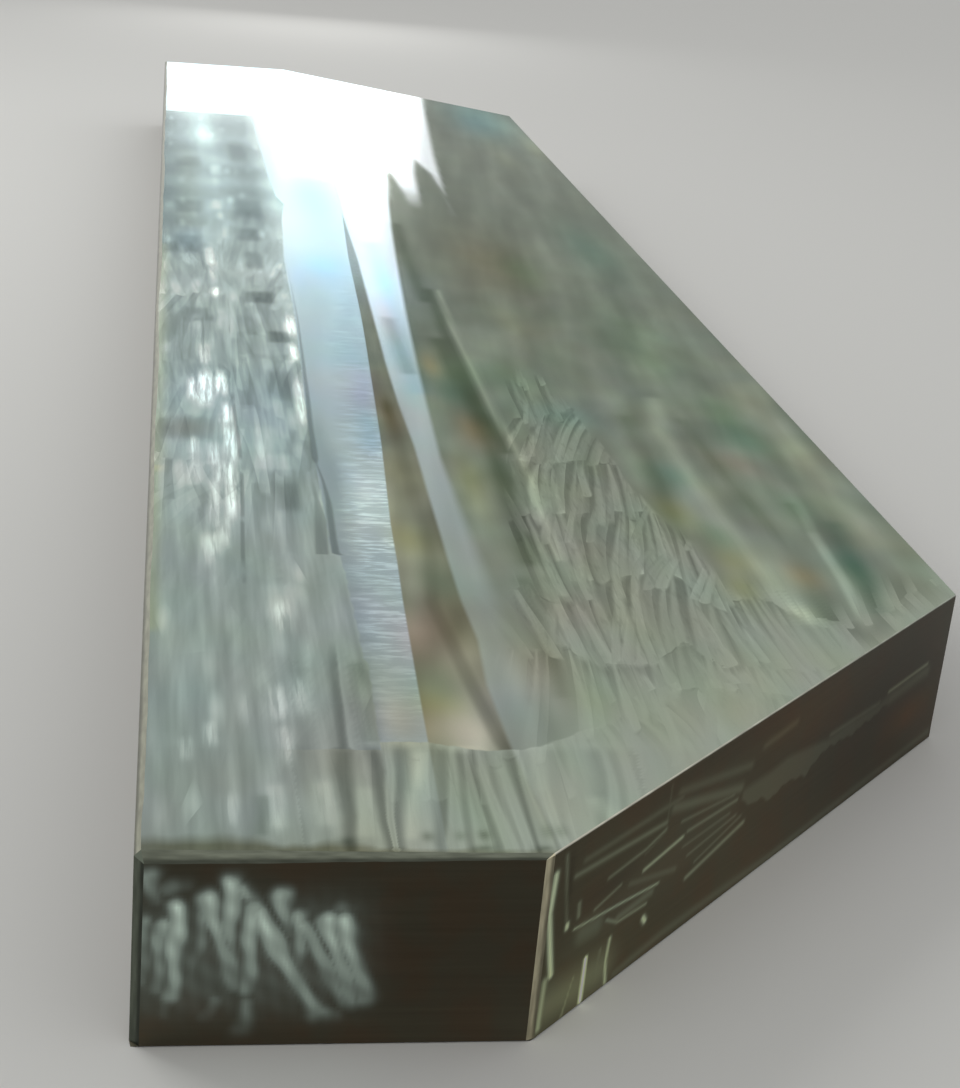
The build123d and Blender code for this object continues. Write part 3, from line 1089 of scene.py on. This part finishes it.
def ground_strokes(row):
    """Rows of grinder strokes, each row's near ends lying over the far ends of the next.

    Row counts the rows, with the part of the row that a place is in. Straight, Tone, Relief and
    Cover are as for one row.
    """
    group, given = pattern(
        "ground_strokes",
        {"Place": "Vector", **dict.fromkeys(("Row", *STROKE_INPUTS), "Float")},
        {**dict.fromkeys(("Tone", "Relief", "Cover"), "Float"), "Random": "Vector"},
    )
    here = node(group, "Math", (given["Row"],), operation="FLOOR")
    beyond = node(group, "Math", (here, 1), operation="ADD")
    height = node(group, "Math", (given["Row"], here), operation="SUBTRACT")
    overhang = node(group, "Math", (height, 1), operation="SUBTRACT")
    shared = {name: given[name] for name in ("Place", *STROKE_INPUTS)}
    lower = node(group, "Group", {**shared, "Row": here, "Height": height}, node_tree=row).outputs
    upper = node(group, "Group", {**shared, "Row": beyond, "Height": overhang}, node_tree=row).outputs
    past = node(group, "Math", (overhang, upper["End"]), operation="SUBTRACT")

    # Edges of the overhanging row are torn in places and worn soft elsewhere
    torn = mottle(group, given["Place"], 38, 38, 1)["Fac"]
    torn = node(group, "MapRange", (torn, 0.5, 0.66))
    softness = node(group, "MapRange", (torn, 0, 1, 0.08, 0.022))
    ratio = node(group, "Math", (past, softness), operation="DIVIDE")
    over = node(group, "MapRange", (ratio, -1, 1), interpolation_type="SMOOTHSTEP")
    # Painted shadow on the lower row, just short of the overhanging row's ragged end
    gap = node(group, "MapRange", (past, -0.032, -0.004), interpolation_type="SMOOTHSTEP")
    gap = node(group, "Math", (gap, torn), operation="MULTIPLY")
    gap = node(group, "Mix", (over, gap, 0))
    seen = {
        name: node(group, "Mix", (over, lower[name], upper[name])) for name in ("Tone", "Relief", "Cover")
    }
    seen["Tone"] = node(group, "Math", (gap, -0.4, seen["Tone"]), operation="MULTIPLY_ADD")
    seen["Random"] = node(group, "Mix", (over, lower["Random"], upper["Random"]), data_type="VECTOR")
    node(group, "NodeGroupOutput", seen)
    return group


def bands_and_glint_dabs():
    """Faint bands along the plate, where the grinder went over the strokes again, and soft dabs of painted
    glint.
    """
    group, given = pattern("bands_and_glint_dabs", {"Place": "Vector"}, {"Bands": "Float", "Dab": "Float"})
    bands = mottle(group, given["Place"], 17, 260, 2)["Fac"]
    bands = node(group, "Math", (bands, 0.9, -0.45), operation="MULTIPLY_ADD")
    cells = node(group, "VectorMath", (given["Place"], (1 / 26, 1 / 120, 0)), operation="MULTIPLY")
    cells = node(group, "TexVoronoi", {"Vector": cells, "Scale": 1, "Randomness": 0.95},
                 voronoi_dimensions="2D")
    dab = node(group, "MapRange", (cells, 0.5, 0), interpolation_type="SMOOTHSTEP")
    dice = node(group, "SeparateXYZ", (cells.outputs["Color"],))
    power = node(group, "MapRange", (dice, 0.6, 1))
    dab = node(group, "Math", (dab, power), operation="MULTIPLY")
    node(group, "NodeGroupOutput", {"Bands": bands, "Dab": dab})
    return group


def feed_marks():
    """Fine marks across a lane that a face mill leaves, painted light where they catch the light, broken
    elsewhere.
    """
    group, given = pattern("feed_marks", {"Place": "Vector"}, {"Mark": "Float"})
    fine = mottle(group, given["Place"], 52, 11, 2, Roughness=0.65, Lacunarity=2.2)["Fac"]
    line = node(group, "MapRange", (fine, 0.4, 0.66), interpolation_type="SMOOTHSTEP")
    broad = mottle(group, given["Place"], 60, 70, 1)["Fac"]
    seen = node(group, "MapRange", (broad, 0.3, 0.66, 0.45, 1))
    mark = node(group, "Math", (line, seen), operation="MULTIPLY")
    node(group, "NodeGroupOutput", {"Mark": mark})
    return group


def nicks():
    """Short thin scratches along the plate, some light and some dark."""
    group, given = pattern("nicks", {"Place": "Vector"}, {"Light": "Float", "Dark": "Float"})
    thin = mottle(group, given["Place"], 7, 42, 1)["Fac"]
    light = node(group, "MapRange", (thin, 0.62, 0.74))
    dark = node(group, "MapRange", (thin, 0.38, 0.27))
    node(group, "NodeGroupOutput", {"Light": light, "Dark": dark})
    return group


def new_material(name):
    """An empty node material and its tree."""
    material = bpy.data.materials.new(name)
    material.use_nodes = True
    material.node_tree.nodes.clear()
    return material, material.node_tree


def milled_and_hand_ground_steel(settings):
    """Bare forged steel, faced with a large mill and then ground by hand in places.

    The mill's lanes reflect light along the plate, because their feed marks run across it, and
    the grinder's strokes reflect it sideways. That is what parts the top into bands.
    """
    material, tree = new_material("milled_and_hand_ground_steel")
    place = node(tree, "Attribute", attribute_name="trace_mm").outputs["Vector"]
    soft_tint = node(tree, "Attribute", attribute_name="soft_tint").outputs["Vector"]
    at = {name: node(tree, "Attribute", attribute_name=name).outputs["Fac"] for name in TOP_FIELDS}
    spot = node(tree, "SeparateXYZ", (place,))
    x, y = spot.outputs["X"], spot.outputs["Y"]

    # Which row of strokes each place is in: two rows side by side on the left, one on the right
    in_middle = node(tree, "Math", (at["past_band_seam"], 0), operation="GREATER_THAN")
    in_right = node(tree, "Math", (at["past_band"], 0), operation="GREATER_THAN")
    row = node(tree, "Mix", (in_middle, at["left_row"], at["middle_row"]))
    straight = node(tree, "Math", (y, 1 / FAR_ROW_LENGTH), operation="MULTIPLY")
    straight = node(tree, "Mix", (in_right, row, straight))
    row = node(tree, "Mix", (in_right, row, at["right_row"]))
    swell = node(tree, "MapRange", (row, 0.8, 1.6, 0.08, 0.16))
    row = node(tree, "Math", (unevenness(tree, place, 45, 45, 2), swell, row), operation="MULTIPLY_ADD")

    # Two layers of strokes, the upper one loose, whose sides waver, and the fine scratches along them
    warp = mottle(tree, place, 34, 85, 1)["Color"]
    warp = node(tree, "VectorMath", (warp, (0.5, 0.5, 0.5)), operation="SUBTRACT")
    wavy = node(tree, "VectorMath", (warp, (STROKE_WAVER, 0, 0), place), operation="MULTIPLY_ADD")
    strokes = ground_strokes(row_of_strokes())
    width = settings.stroke_width * MM
    length = settings.stroke_length * MM
    lower = node(tree, "Group", {"Place": wavy, "Row": row, "Straight": straight, "Width": width,
                                 "Length": length, "Lean": at["lean"], "Taper": 0.4},
                 node_tree=strokes).outputs
    loose_row, loose_straight = (
        node(tree, "Math", (count, 1.3, 40.4), operation="MULTIPLY_ADD") for count in (row, straight)
    )
    loose_lean = node(tree, "Math", (at["lean"], 0.1), operation="ADD")
    upper = node(tree, "Group", {"Place": wavy, "Row": loose_row, "Straight": loose_straight,
                                 "Width": width * 0.9, "Length": length * 0.75, "Lean": loose_lean,
                                 "Taper": 0.3, "Share": 0.34}, node_tree=strokes).outputs
    tone, relief = (
        node(tree, "Mix", (upper["Cover"], lower[name], upper[name])) for name in ("Tone", "Relief")
    )
    nick = node(tree, "Group", {"Place": wavy}, node_tree=nicks()).outputs
    grained = unevenness(tree, place, 1.6, 70, 2)
    for part, weight in ((nick["Light"], 0.07), (nick["Dark"], -0.12), (grained, 0.08)):
        tone = node(tree, "Math", (part, weight, tone), operation="MULTIPLY_ADD")

    # Broad soft streaks and clouds left by the mill under everything
    leaning = node(tree, "Math", (y, -0.09, x), operation="MULTIPLY_ADD")
    leaning = node(tree, "CombineXYZ", (leaning, y)).outputs["Vector"]
    streaked = unevenness(tree, leaning, 60, 520, 1.5)
    clouded = unevenness(tree, leaning, 75, 150, 1)
    fainter = node(tree, "MapRange", (y, 1300, 2400, 1, 0.35))
    clouded = node(tree, "Math", (clouded, fainter), operation="MULTIPLY")

    # Hand-ground steel in plain rows, with the traced gaps of the near row
    calm = node(tree, "Math", (at["contrast"], -0.2, 0.72), operation="MULTIPLY_ADD")
    shade = node(tree, "Math", (tone, at["contrast"], calm), operation="MULTIPLY_ADD")
    off = node(tree, "Math", (at["gap_number"], 0.5), operation="ADD")
    off = node(tree, "Math", (off,), operation="FRACT")
    off = node(tree, "Math", (off, 0.5), operation="SUBTRACT")
    off = node(tree, "Math", (off,), operation="ABSOLUTE")
    ratio = node(tree, "Math", (off, at["gap_half"]), operation="DIVIDE")
    gap = node(tree, "MapRange", (ratio, 1.3, 0.15), interpolation_type="SMOOTHSTEP")
    gap = node(tree, "Math", (gap, at["gap_darkness"]), operation="MULTIPLY")
    back = node(tree, "MapRange", (off, 0.15, 0.5, 0, 0.25))
    gap = node(tree, "Math", (back, at["gap_darkness"], gap), operation="MULTIPLY_ADD")
    shade = node(tree, "Math", (shade, gap), operation="SUBTRACT")
    ground = shaded(tree, settings.ground, shade, 1.5)

    # The left band was gone over again: softer near the front, with blunt blocks and painted glints further
    # on
    dabs = node(tree, "Group", {"Place": place}, node_tree=bands_and_glint_dabs()).outputs
    first, second = (
        node(tree, "SeparateXYZ", (layer["Random"],)).outputs[axis]
        for layer, axis in ((lower, "X"), (upper, "Y"))
    )
    first = node(tree, "Math", (first, 0.5), operation="SUBTRACT")
    second = node(tree, "Math", (second, 0.5), operation="SUBTRACT")
    block = node(tree, "Math", (second, 0.7, first), operation="MULTIPLY_ADD")
    calmer = node(tree, "MapRange", (y, 1900, 2700, 1, 0.15))
    blocky = node(tree, "MapRange", (y, 690, 1000, 0.02, 0.22))
    rows_seen = node(tree, "MapRange", (y, 700, 1200, 0.03, 0.12))
    banded = node(tree, "MapRange", (y, 500, 1300, 0.4, 0.48))
    blocky, rows_seen, banded = (
        node(tree, "Math", (part, calmer), operation="MULTIPLY") for part in (blocky, rows_seen, banded)
    )
    turn = node(tree, "Math", (row, 2 * math.pi), operation="MULTIPLY")
    turn = node(tree, "Math", (turn,), operation="COSINE")
    swing = node(tree, "MapRange", (y, 1400, 2600, 0, 0.06))
    broken = mottle(tree, place, 7, 110, 2)["Fac"]
    broken = node(tree, "MapRange", (broken, 0.36, 0.56, 0.35, 1))
    shade = 0.5
    for part, weight in (
        (tone, rows_seen), (block, blocky), (dabs["Bands"], banded), (dabs["Dab"], 0.2), (at["blocks"], 1),
        (turn, swing), (at["painted_glints"], broken), (gap, -0.7),
    ):
        shade = node(tree, "Math", (part, weight, shade), operation="MULTIPLY_ADD")
    softened = shaded(tree, settings.softened, shade, 1.9)
    softened_low = shaded(tree, linear(BAND_AT_LOW_ANGLE), shade, 0.85)

    # Milled steel right of the lanes: broad soft streaks and clouds
    shade = 0.5
    for part, weight in ((tone, 0.03), (streaked, 0.65), (clouded, 0.45)):
        shade = node(tree, "Math", (part, weight, shade), operation="MULTIPLY_ADD")
    milled = shaded(tree, settings.milled, shade, 1.3)

    # First lane: bright, with feed marks that thin out towards both ends, and duller by its near left edge
    marks = node(tree, "Group", {"Place": wavy}, node_tree=feed_marks())
    torn = mottle(tree, place, math.inf, 34, 2)["Fac"]
    torn = node(tree, "Math", (torn, 44, -22), operation="MULTIPLY_ADD")
    torn = node(tree, "Math", (torn, at["past_bright_lane"]), operation="ADD")
    near_rim = node(tree, "MapRange", (torn, -72, -34), interpolation_type="SMOOTHSTEP")
    early = node(tree, "MapRange", (y, 230, 650, 0.18, 1))
    late = node(tree, "MapRange", (y, 850, 1450, 1, 0.3))
    mark = marks
    for part in (near_rim, early, late):
        mark = node(tree, "Math", (mark, part), operation="MULTIPLY")
    duller = node(tree, "MapRange", (y, 800, 1150, -0.28, 0))
    away = node(tree, "Math", (1, near_rim), operation="SUBTRACT")
    shade = 0.46
    for part, weight in ((late, -0.11), (mark, 0.48), (streaked, 0.4), (duller, away)):
        shade = node(tree, "Math", (part, weight, shade), operation="MULTIPLY_ADD")
    bright = shaded(tree, settings.lane, shade, 1.15)
    # Painted glare: further along, the lane turns to the far lanes' glare colour
    further = node(tree, "MapRange", (y, 1500, 3100, 0, 0.85), interpolation_type="SMOOTHSTEP")
    painted_glare = (*settings.painted_glare, 1)
    bright = node(tree, "Mix", (further, bright, painted_glare), data_type="RGBA")

    # Wedge between the lanes: dark, with a crease near its near end
    off = node(tree, "Math", (at["past_crease"],), operation="ABSOLUTE")
    creased = node(tree, "MapRange", (off, 13, 2), interpolation_type="SMOOTHSTEP")
    fades = node(tree, "MapRange", (y, 300, 620, -0.27, -0.06))
    shade = node(tree, "MapRange", (y, 200, 450, 0.68, 0.58))
    for part, weight in ((streaked, 0.8), (clouded, 0.6), (creased, fades)):
        shade = node(tree, "Math", (part, weight, shade), operation="MULTIPLY_ADD")
    dark = shaded(tree, settings.wedge, shade, 1.5)
    closing = node(tree, "MapRange", (y, 1750, 2300, 0, 0.8), interpolation_type="SMOOTHSTEP")
    dark = node(tree, "Mix", (closing, dark, bright), data_type="RGBA")

    # Second lane: pale, fading in from the milled steel and out into the painted glare
    shade = node(tree, "Math", (streaked, 0.8, 0.36), operation="MULTIPLY_ADD")
    pale = shaded(tree, settings.pale, shade, 0.7)
    begun = node(tree, "MapRange", (y, 380, 1000), interpolation_type="SMOOTHSTEP")
    pale = node(tree, "Mix", (begun, milled, pale), data_type="RGBA")
    sooner = node(tree, "MapRange", (y, 1100, 2200, 0, 0.85), interpolation_type="SMOOTHSTEP")
    pale = node(tree, "Mix", (sooner, pale, painted_glare), data_type="RGBA")

    # Painted over each other from right to left, each with what it shows at low angles
    jitter = mottle(tree, place, 22, 22, 1)["Fac"]
    jitter = node(tree, "Math", (jitter, 5, -2.5), operation="MULTIPLY_ADD")
    ragged = node(tree, "Math", (at["past_band"], jitter), operation="ADD")
    # The short far lanes carry painted glare
    colour = node(tree, "Mix", (at["far_glare_lanes"], milled, (*linear(FAR_LANE_PAINTED_GLARE), 1)), data_type="RGBA")
    low_angle = node(tree, "Mix", (at["far_glare_lanes"], (*linear(MILLED_AT_LOW_ANGLE), 1), (1, 1, 1, 1)),
                     data_type="RGBA")
    for distance, soft, finish, low_finish in (
        (at["past_pale_lane"], 5, pale, (*linear(PALE_AT_LOW_ANGLE), 1)),
        (at["past_wedge"], 3.5, dark, (*linear(WEDGE_AT_LOW_ANGLE), 1)),
        (at["past_bright_lane"], 1.5, bright, (*linear(LANE_AT_LOW_ANGLE), 1)),
        (ragged, 1.5, softened, softened_low),
    ):
        keep = node(tree, "MapRange", (distance, -soft, soft), interpolation_type="SMOOTHSTEP")
        colour = node(tree, "Mix", (keep, finish, colour), data_type="RGBA")
        low_angle = node(tree, "Mix", (keep, low_finish, low_angle), data_type="RGBA")
    right_of_band = keep

    # Dark seam in wedges along the left band's right edge, with a smear beside it
    off = node(tree, "Math", (at["past_band"], at["seam_middle"]), operation="SUBTRACT")
    off = node(tree, "Math", (off,), operation="ABSOLUTE")
    inside = node(tree, "Math", (at["seam_half"], off), operation="SUBTRACT")
    line = node(tree, "MapRange", (inside, -1.5, 3.5, 0, 0.86), interpolation_type="SMOOTHSTEP")
    there = node(tree, "Math", (at["seam_half"], 0.4), operation="MULTIPLY", use_clamp=True)
    begun = node(tree, "MapRange", (y, 704, 708), interpolation_type="SMOOTHSTEP")
    off = node(tree, "Math", (at["past_smear"],), operation="ABSOLUTE")
    half = node(tree, "MapRange", (y, 820, 900, 8, 3))
    inside = node(tree, "Math", (half, off), operation="SUBTRACT")
    smear = node(tree, "MapRange", (inside, -2, 2.5, 0, 0.58), interpolation_type="SMOOTHSTEP")
    ended = node(tree, "MapRange", (y, 1050, 870), interpolation_type="SMOOTHSTEP")
    line = node(tree, "Math", (line, there), operation="MULTIPLY")
    smear = node(tree, "Math", (smear, ended), operation="MULTIPLY")
    line = node(tree, "Math", (line, smear), operation="MAXIMUM")
    line = node(tree, "Math", (line, begun), operation="MULTIPLY")
    seam_dark = (*linear(SEAM_DARK), 1)
    colour = node(tree, "Mix", (line, colour, seam_dark), data_type="RGBA")

    # Thin broken line down the left band's middle
    broken = mottle(tree, place, 70, 70, 1)["Fac"]
    broken = node(tree, "MapRange", (broken, 0.3, 0.46))
    off = node(tree, "Math", (at["past_band_seam"],), operation="ABSOLUTE")
    line = node(tree, "MapRange", (off, 4.2, 1, 0, 0.62), interpolation_type="SMOOTHSTEP")
    begun = node(tree, "MapRange", (y, 540, 620), interpolation_type="SMOOTHSTEP")
    ended = node(tree, "MapRange", (y, 1450, 1270), interpolation_type="SMOOTHSTEP")
    for part in (begun, ended, broken):
        line = node(tree, "Math", (line, part), operation="MULTIPLY")
    colour = node(tree, "Mix", (line, colour, seam_dark), data_type="RGBA")

    # The bright streak near the right corner
    off = node(tree, "Math", (at["past_streak"],), operation="ABSOLUTE")
    light = node(tree, "MapRange", (off, 13, 2, 0, 0.45), interpolation_type="SMOOTHSTEP")
    begun = node(tree, "MapRange", (y, 490, 590), interpolation_type="SMOOTHSTEP")
    ended = node(tree, "MapRange", (y, 1020, 780), interpolation_type="SMOOTHSTEP")
    light = node(tree, "Math", (light, begun), operation="MULTIPLY")
    light = node(tree, "Math", (light, ended, 1), operation="MULTIPLY_ADD")
    colour = node(tree, "VectorMath", {0: colour, "Scale": light}, operation="SCALE")

    # Hand-ground patch right of the lanes, where whole strokes drop out towards its rim, and the near row
    chance = node(tree, "SeparateXYZ", (lower["Random"],))
    chance = node(tree, "Math", (chance, 150, -70), operation="MULTIPLY_ADD")
    patch = node(tree, "Math", (at["in_patch"], chance), operation="ADD")
    patch = node(tree, "MapRange", (patch, -45, 45), interpolation_type="SMOOTHSTEP")
    near = node(tree, "Math", (1, row), operation="SUBTRACT")
    near = node(tree, "Math", (near, lower["Random"], near), operation="MULTIPLY_ADD")
    near = node(tree, "MapRange", (near, -0.015, 0.015), interpolation_type="SMOOTHSTEP")
    beside = node(tree, "MapRange", (at["past_band"], -130, -10), interpolation_type="SMOOTHSTEP")
    near = node(tree, "Math", (near, beside), operation="MULTIPLY")
    for part in (patch, near):
        colour = node(tree, "Mix", (part, colour, ground), data_type="RGBA")

    # Faint pink, green and blue patches that thin oil leaves
    film = mottle(tree, place, 75, 170, 1)["Color"]
    film = node(tree, "VectorMath", (film, (0.5, 0.5, 0.5)), operation="SUBTRACT")
    film = node(tree, "VectorMath", {0: film, "Scale": fainter}, operation="SCALE")
    film = node(tree, "VectorMath", (film, (0.16, 0.12, 0.18), (1, 1, 1)), operation="MULTIPLY_ADD")
    for tint in (film, soft_tint):
        colour = node(tree, "VectorMath", (colour, tint), operation="MULTIPLY")
    half_tint = node(tree, "Mix", (0.5, (1, 1, 1), soft_tint), data_type="VECTOR")
    low_angle = node(tree, "VectorMath", (low_angle, half_tint), operation="MULTIPLY")

    # Lanes reflect along the plate, ground steel across it
    hand = node(tree, "Math", (patch, near), operation="MAXIMUM")
    hand = node(tree, "Math", (1, hand), operation="SUBTRACT")
    lane = node(tree, "Math", (right_of_band, hand), operation="MULTIPLY")
    tangent = node(tree, "Mix", (lane, (1, 0, 0), (0, 1, 0)), data_type="VECTOR")

    # Relief in mm and roughness, both evener further off, where the strokes are too fine to show singly
    flatter = node(tree, "MapRange", (y, 400, 1400, 1, 0.03))
    rough = node(tree, "Math", (tone, flatter), operation="MULTIPLY")
    rough = node(tree, "MapRange", (rough, -0.4, 0.4, 0.27, 0.19))
    rough = node(tree, "Mix", (lane, rough, 0.2))
    relief = node(tree, "Math", (grained, 0.03, relief), operation="MULTIPLY_ADD")
    for part in (flatter, at["contrast"]):
        relief = node(tree, "Math", (relief, part), operation="MULTIPLY")
    feed = node(tree, "Math", (mark, 0.02), operation="MULTIPLY")
    relief = node(tree, "Mix", (lane, relief, feed))
    bump = node(tree, "Bump", {"Height": relief, "Distance": 1 / MM, "Strength": 1})
    shader = node(tree, "BsdfPrincipled", {
        "Base Color": colour, "Metallic": 1, "Roughness": rough, "Specular Tint": low_angle,
        "Anisotropic": 0.6, "Tangent": tangent, "Normal": bump,
    })
    node(tree, "OutputMaterial", (shader,))
    return material


def dark_filmed_steel(settings):
    """Steel under the brown-black film of cutting oil and light rust, bared by a few grinder strokes."""
    material, tree = new_material("dark_filmed_steel")
    place = node(tree, "Attribute", attribute_name="trace_mm").outputs["Vector"]
    bare = node(tree, "Attribute", attribute_name="bared").outputs["Fac"]
    tint = node(tree, "Attribute", attribute_name="side_tint").outputs["Vector"]
    browner = node(tree, "MapRange", (mottle(tree, place, 60, 60, 3)["Fac"], 0.4, 0.65, 0.22, 0.72))
    film = node(tree, "Mix", (browner, (*settings.film, 1), (*settings.rust, 1)), data_type="RGBA")
    gain = node(tree, "Math", (unevenness(tree, place, 160, 5, 2), 0.22, 1), operation="MULTIPLY_ADD")
    film = node(tree, "VectorMath", {0: film, "Scale": gain}, operation="SCALE")
    shade = node(tree, "Math", (bare, 0.9), operation="MULTIPLY")
    bared = shaded(tree, settings.bare, shade, 1.7)
    cover = node(tree, "MapRange", (bare, 0, 0.5))
    colour = node(tree, "Mix", (cover, film, bared), data_type="RGBA")
    colour = node(tree, "VectorMath", (colour, tint), operation="MULTIPLY")
    rough = node(tree, "MapRange", (bare, 0, 1, 0.46, 0.34))
    shader = node(tree, "BsdfPrincipled", {"Base Color": colour, "Metallic": 1, "Roughness": rough})
    node(tree, "OutputMaterial", (shader,))
    return material


def ground_bevel_steel():
    """Bevels freshly cut by a flap disc, each with a painted brightness for how its angle catches the
    light.
    """
    material, tree = new_material("ground_bevel_steel")
    place = node(tree, "Attribute", attribute_name="trace_mm").outputs["Vector"]
    worked = node(tree, "Attribute", attribute_name="lit_bevel_colour").outputs["Color"]
    ridged = node(tree, "MapRange", (mottle(tree, place, 30, 6, 2)["Fac"], 0.25, 0.75, 0.78, 1.22))
    up_bevel = node(tree, "SeparateXYZ", (place,)).outputs["Z"]
    darker_foot = node(tree, "MapRange", (up_bevel, 0.15, 0.55, 0.42, 1), interpolation_type="SMOOTHSTEP")
    gain = node(tree, "Math", (ridged, darker_foot), operation="MULTIPLY")
    colour = node(tree, "VectorMath", {0: worked, "Scale": gain}, operation="SCALE")
    shader = node(tree, "BsdfPrincipled", {"Base Color": colour, "Metallic": 1, "Roughness": 0.3})
    node(tree, "OutputMaterial", (shader,))
    return material


# How the faces are divided into rows and columns, and how much closer together these stand at their start
MESH_STEPS = {
    "first_row_gap": 4.0,
    "row_power": 1.35,
    "column_power": 1.2,
    "top_rows": 380,
    "top_columns": 140,
    "under_rows": 40,
    "under_columns": 20,
    "side_rows": [56, 88, 6, 6, 6, 6],
    "side_columns": [110, 290, 120, 40, 20, 260],
}

# Faces that meet at more than this angle, in degrees, have a sharp edge between them
SHARP_ANGLE = 20


class PLATE_OT_build(bpy.types.Operator):
    """Build the plate's skin with its bevels and finishes"""

    bl_idname = "forged_plate.build_plate"
    bl_label = "Build plate"

    def execute(self, context):
        settings = context.scene.forged_plate
        bevels = ("edge_break", "bevel_wander", "left_bevel", "near_bevel_left", "near_bevel_right",
                  "left_corner_bevel", "cut_corner_bevel")
        shell = build_shell({name: getattr(settings, name) * MM for name in bevels} | MESH_STEPS)
        mesh = bpy.data.meshes.new("forged_plate_skin")
        mesh.from_pydata([tuple(c / MM for c in point) for point in shell.points], [], shell.faces)
        if mesh.validate():
            raise RuntimeError("the plate's skin has faulty faces")
        trace = mesh.attributes.new("trace_mm", "FLOAT_VECTOR", "CORNER")
        trace.data.foreach_set("vector", np.array(shell.traces, dtype=np.float32).ravel())
        points = np.array(shell.points)
        for name, values in surface_fields(points).items():
            kind, part = ("FLOAT_VECTOR", "vector") if values.ndim == 2 else ("FLOAT", "value")
            field = mesh.attributes.new(name, kind, "POINT")
            field.data.foreach_set(part, values.astype(np.float32).ravel())
        worked = mesh.attributes.new("lit_bevel_colour", "FLOAT_COLOR", "FACE")
        worked.data.foreach_set("color", lit_bevel_colours(shell, settings.bevel).astype(np.float32).ravel())
        mesh.polygons.foreach_set("material_index", shell.finishes)
        mesh.shade_smooth()
        mesh.set_sharp_from_angle(angle=math.radians(SHARP_ANGLE))
        plate = bpy.data.objects.new("forged_plate_skin", mesh)
        context.scene.collection.objects.link(plate)
        mesh.materials.append(milled_and_hand_ground_steel(settings))
        mesh.materials.append(dark_filmed_steel(settings))
        mesh.materials.append(ground_bevel_steel())
        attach(plate, BODY)
        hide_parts(NODE)
        return {"FINISHED"}


# Lamps behind soft boxes: name, place, what each points at, width and height, and power in watts
LAMPS = [
    ("key_softbox", (-3.5, 1.5, 4.0), (0, -0.5, 0.2), (3.0, 2.0), 90),
    ("rear_low_softbox", (0.115, 5.6, 0.765), (0, 2.0, 0.2), (1.23, 0.23), 3.9),
    ("rear_high_softbox", (0.325, 5.6, 1.15), (0.1, 0.8, 0.2), (0.55, 0.44), 1.9),
]

# How brightly the white world shines, except where it is seen or mirrored, and how far the camera sees
WORLD_LIGHT = 0.55
FARTHEST_SEEN_M = 200


def area_lamp(context, name, place, target, size, power):
    """A soft rectangular lamp that the camera doesn't see."""
    data = bpy.data.lights.new(name, "AREA")
    data.shape = "RECTANGLE"
    data.size, data.size_y = size
    data.energy = power
    lamp = bpy.data.objects.new(name, data)
    lamp.location = place
    lamp.rotation_euler = (Vector(target) - Vector(place)).to_track_quat("-Z", "Y").to_euler()
    lamp.visible_camera = False
    context.scene.collection.objects.link(lamp)


class PLATE_OT_stage(bpy.types.Operator):
    """Lay the floor, hang the lamps and set up the camera"""

    bl_idname = "forged_plate.build_stage"
    bl_label = "Build stage"

    def execute(self, context):
        settings = context.scene.forged_stage
        half = settings.floor_size / 2
        corners = [(-half, -half, 0), (half, -half, 0), (half, half, 0), (-half, half, 0)]
        mesh = bpy.data.meshes.new("studio_floor")
        mesh.from_pydata(corners, [], [(0, 1, 2, 3)])
        floor = bpy.data.objects.new("studio_floor", mesh)
        context.scene.collection.objects.link(floor)
        material, tree = new_material("pale_floor")
        shader = node(tree, "BsdfPrincipled", {"Base Color": (*settings.floor, 1), "Roughness": 0.9})
        node(tree, "OutputMaterial", (shader,))
        mesh.materials.append(material)

        world = bpy.data.worlds.new("studio")
        world.use_nodes = True
        world.node_tree.nodes.clear()
        tree = world.node_tree
        path = node(tree, "LightPath")
        seen = node(tree, "Math", (path.outputs["Is Camera Ray"], path.outputs["Is Glossy Ray"]),
                    operation="MAXIMUM")
        seen = node(tree, "Math", (seen, path.outputs["Is Transmission Ray"]), operation="MAXIMUM")
        strength = node(tree, "MapRange", (seen, 0, 1, WORLD_LIGHT))
        shader = node(tree, "Background", {"Color": (1, 1, 1, 1), "Strength": strength})
        node(tree, "OutputWorld", (shader,))
        context.scene.world = world

        for lamp in LAMPS:
            area_lamp(context, *lamp)

        data = bpy.data.cameras.new("camera")
        data.lens = settings.focal_px / FRAME_HEIGHT_PX * SENSOR
        data.sensor_width = SENSOR
        data.clip_end = FARTHEST_SEEN_M
        camera = bpy.data.objects.new("camera", data)
        turn = (
            Matrix.Rotation(-settings.camera_heading, 4, "Z")
            @ Matrix.Rotation(math.pi / 2 - settings.camera_pitch, 4, "X")
            @ Matrix.Rotation(settings.camera_roll, 4, "Z")
        )
        camera.matrix_world = Matrix.Translation(settings.camera_place) @ turn
        context.scene.collection.objects.link(camera)
        context.scene.camera = camera
        context.scene.view_settings.view_transform = "Standard"
        return {"FINISHED"}


class PLATE_PT_panel(bpy.types.Panel):
    """Lists what the add-on can build"""

    bl_idname = "PLATE_PT_panel"
    bl_label = "Forged Plate"
    bl_space_type = "VIEW_3D"
    bl_region_type = "UI"
    bl_category = "Forged Plate"

    def draw(self, context):
        column = self.layout.column()
        column.operator(PLATE_OT_build.bl_idname)
        column.operator(PLATE_OT_stage.bl_idname)


CLASSES = (PlateSettings, StageSettings, PLATE_OT_build, PLATE_OT_stage, PLATE_PT_panel)


def register():
    """Makes the classes and their settings known to Blender."""
    for cls in CLASSES:
        bpy.utils.register_class(cls)
    bpy.types.Scene.forged_plate = bpy.props.PointerProperty(type=PlateSettings)
    bpy.types.Scene.forged_stage = bpy.props.PointerProperty(type=StageSettings)


def unregister():
    """Takes away what register made known."""
    del bpy.types.Scene.forged_stage
    del bpy.types.Scene.forged_plate
    for cls in reversed(CLASSES):
        bpy.utils.unregister_class(cls)


def main():
    """Builds the plate and its stage."""
    register()
    bpy.ops.forged_plate.build_plate()
    bpy.ops.forged_plate.build_stage()


if __name__ == "__main__":
    main()
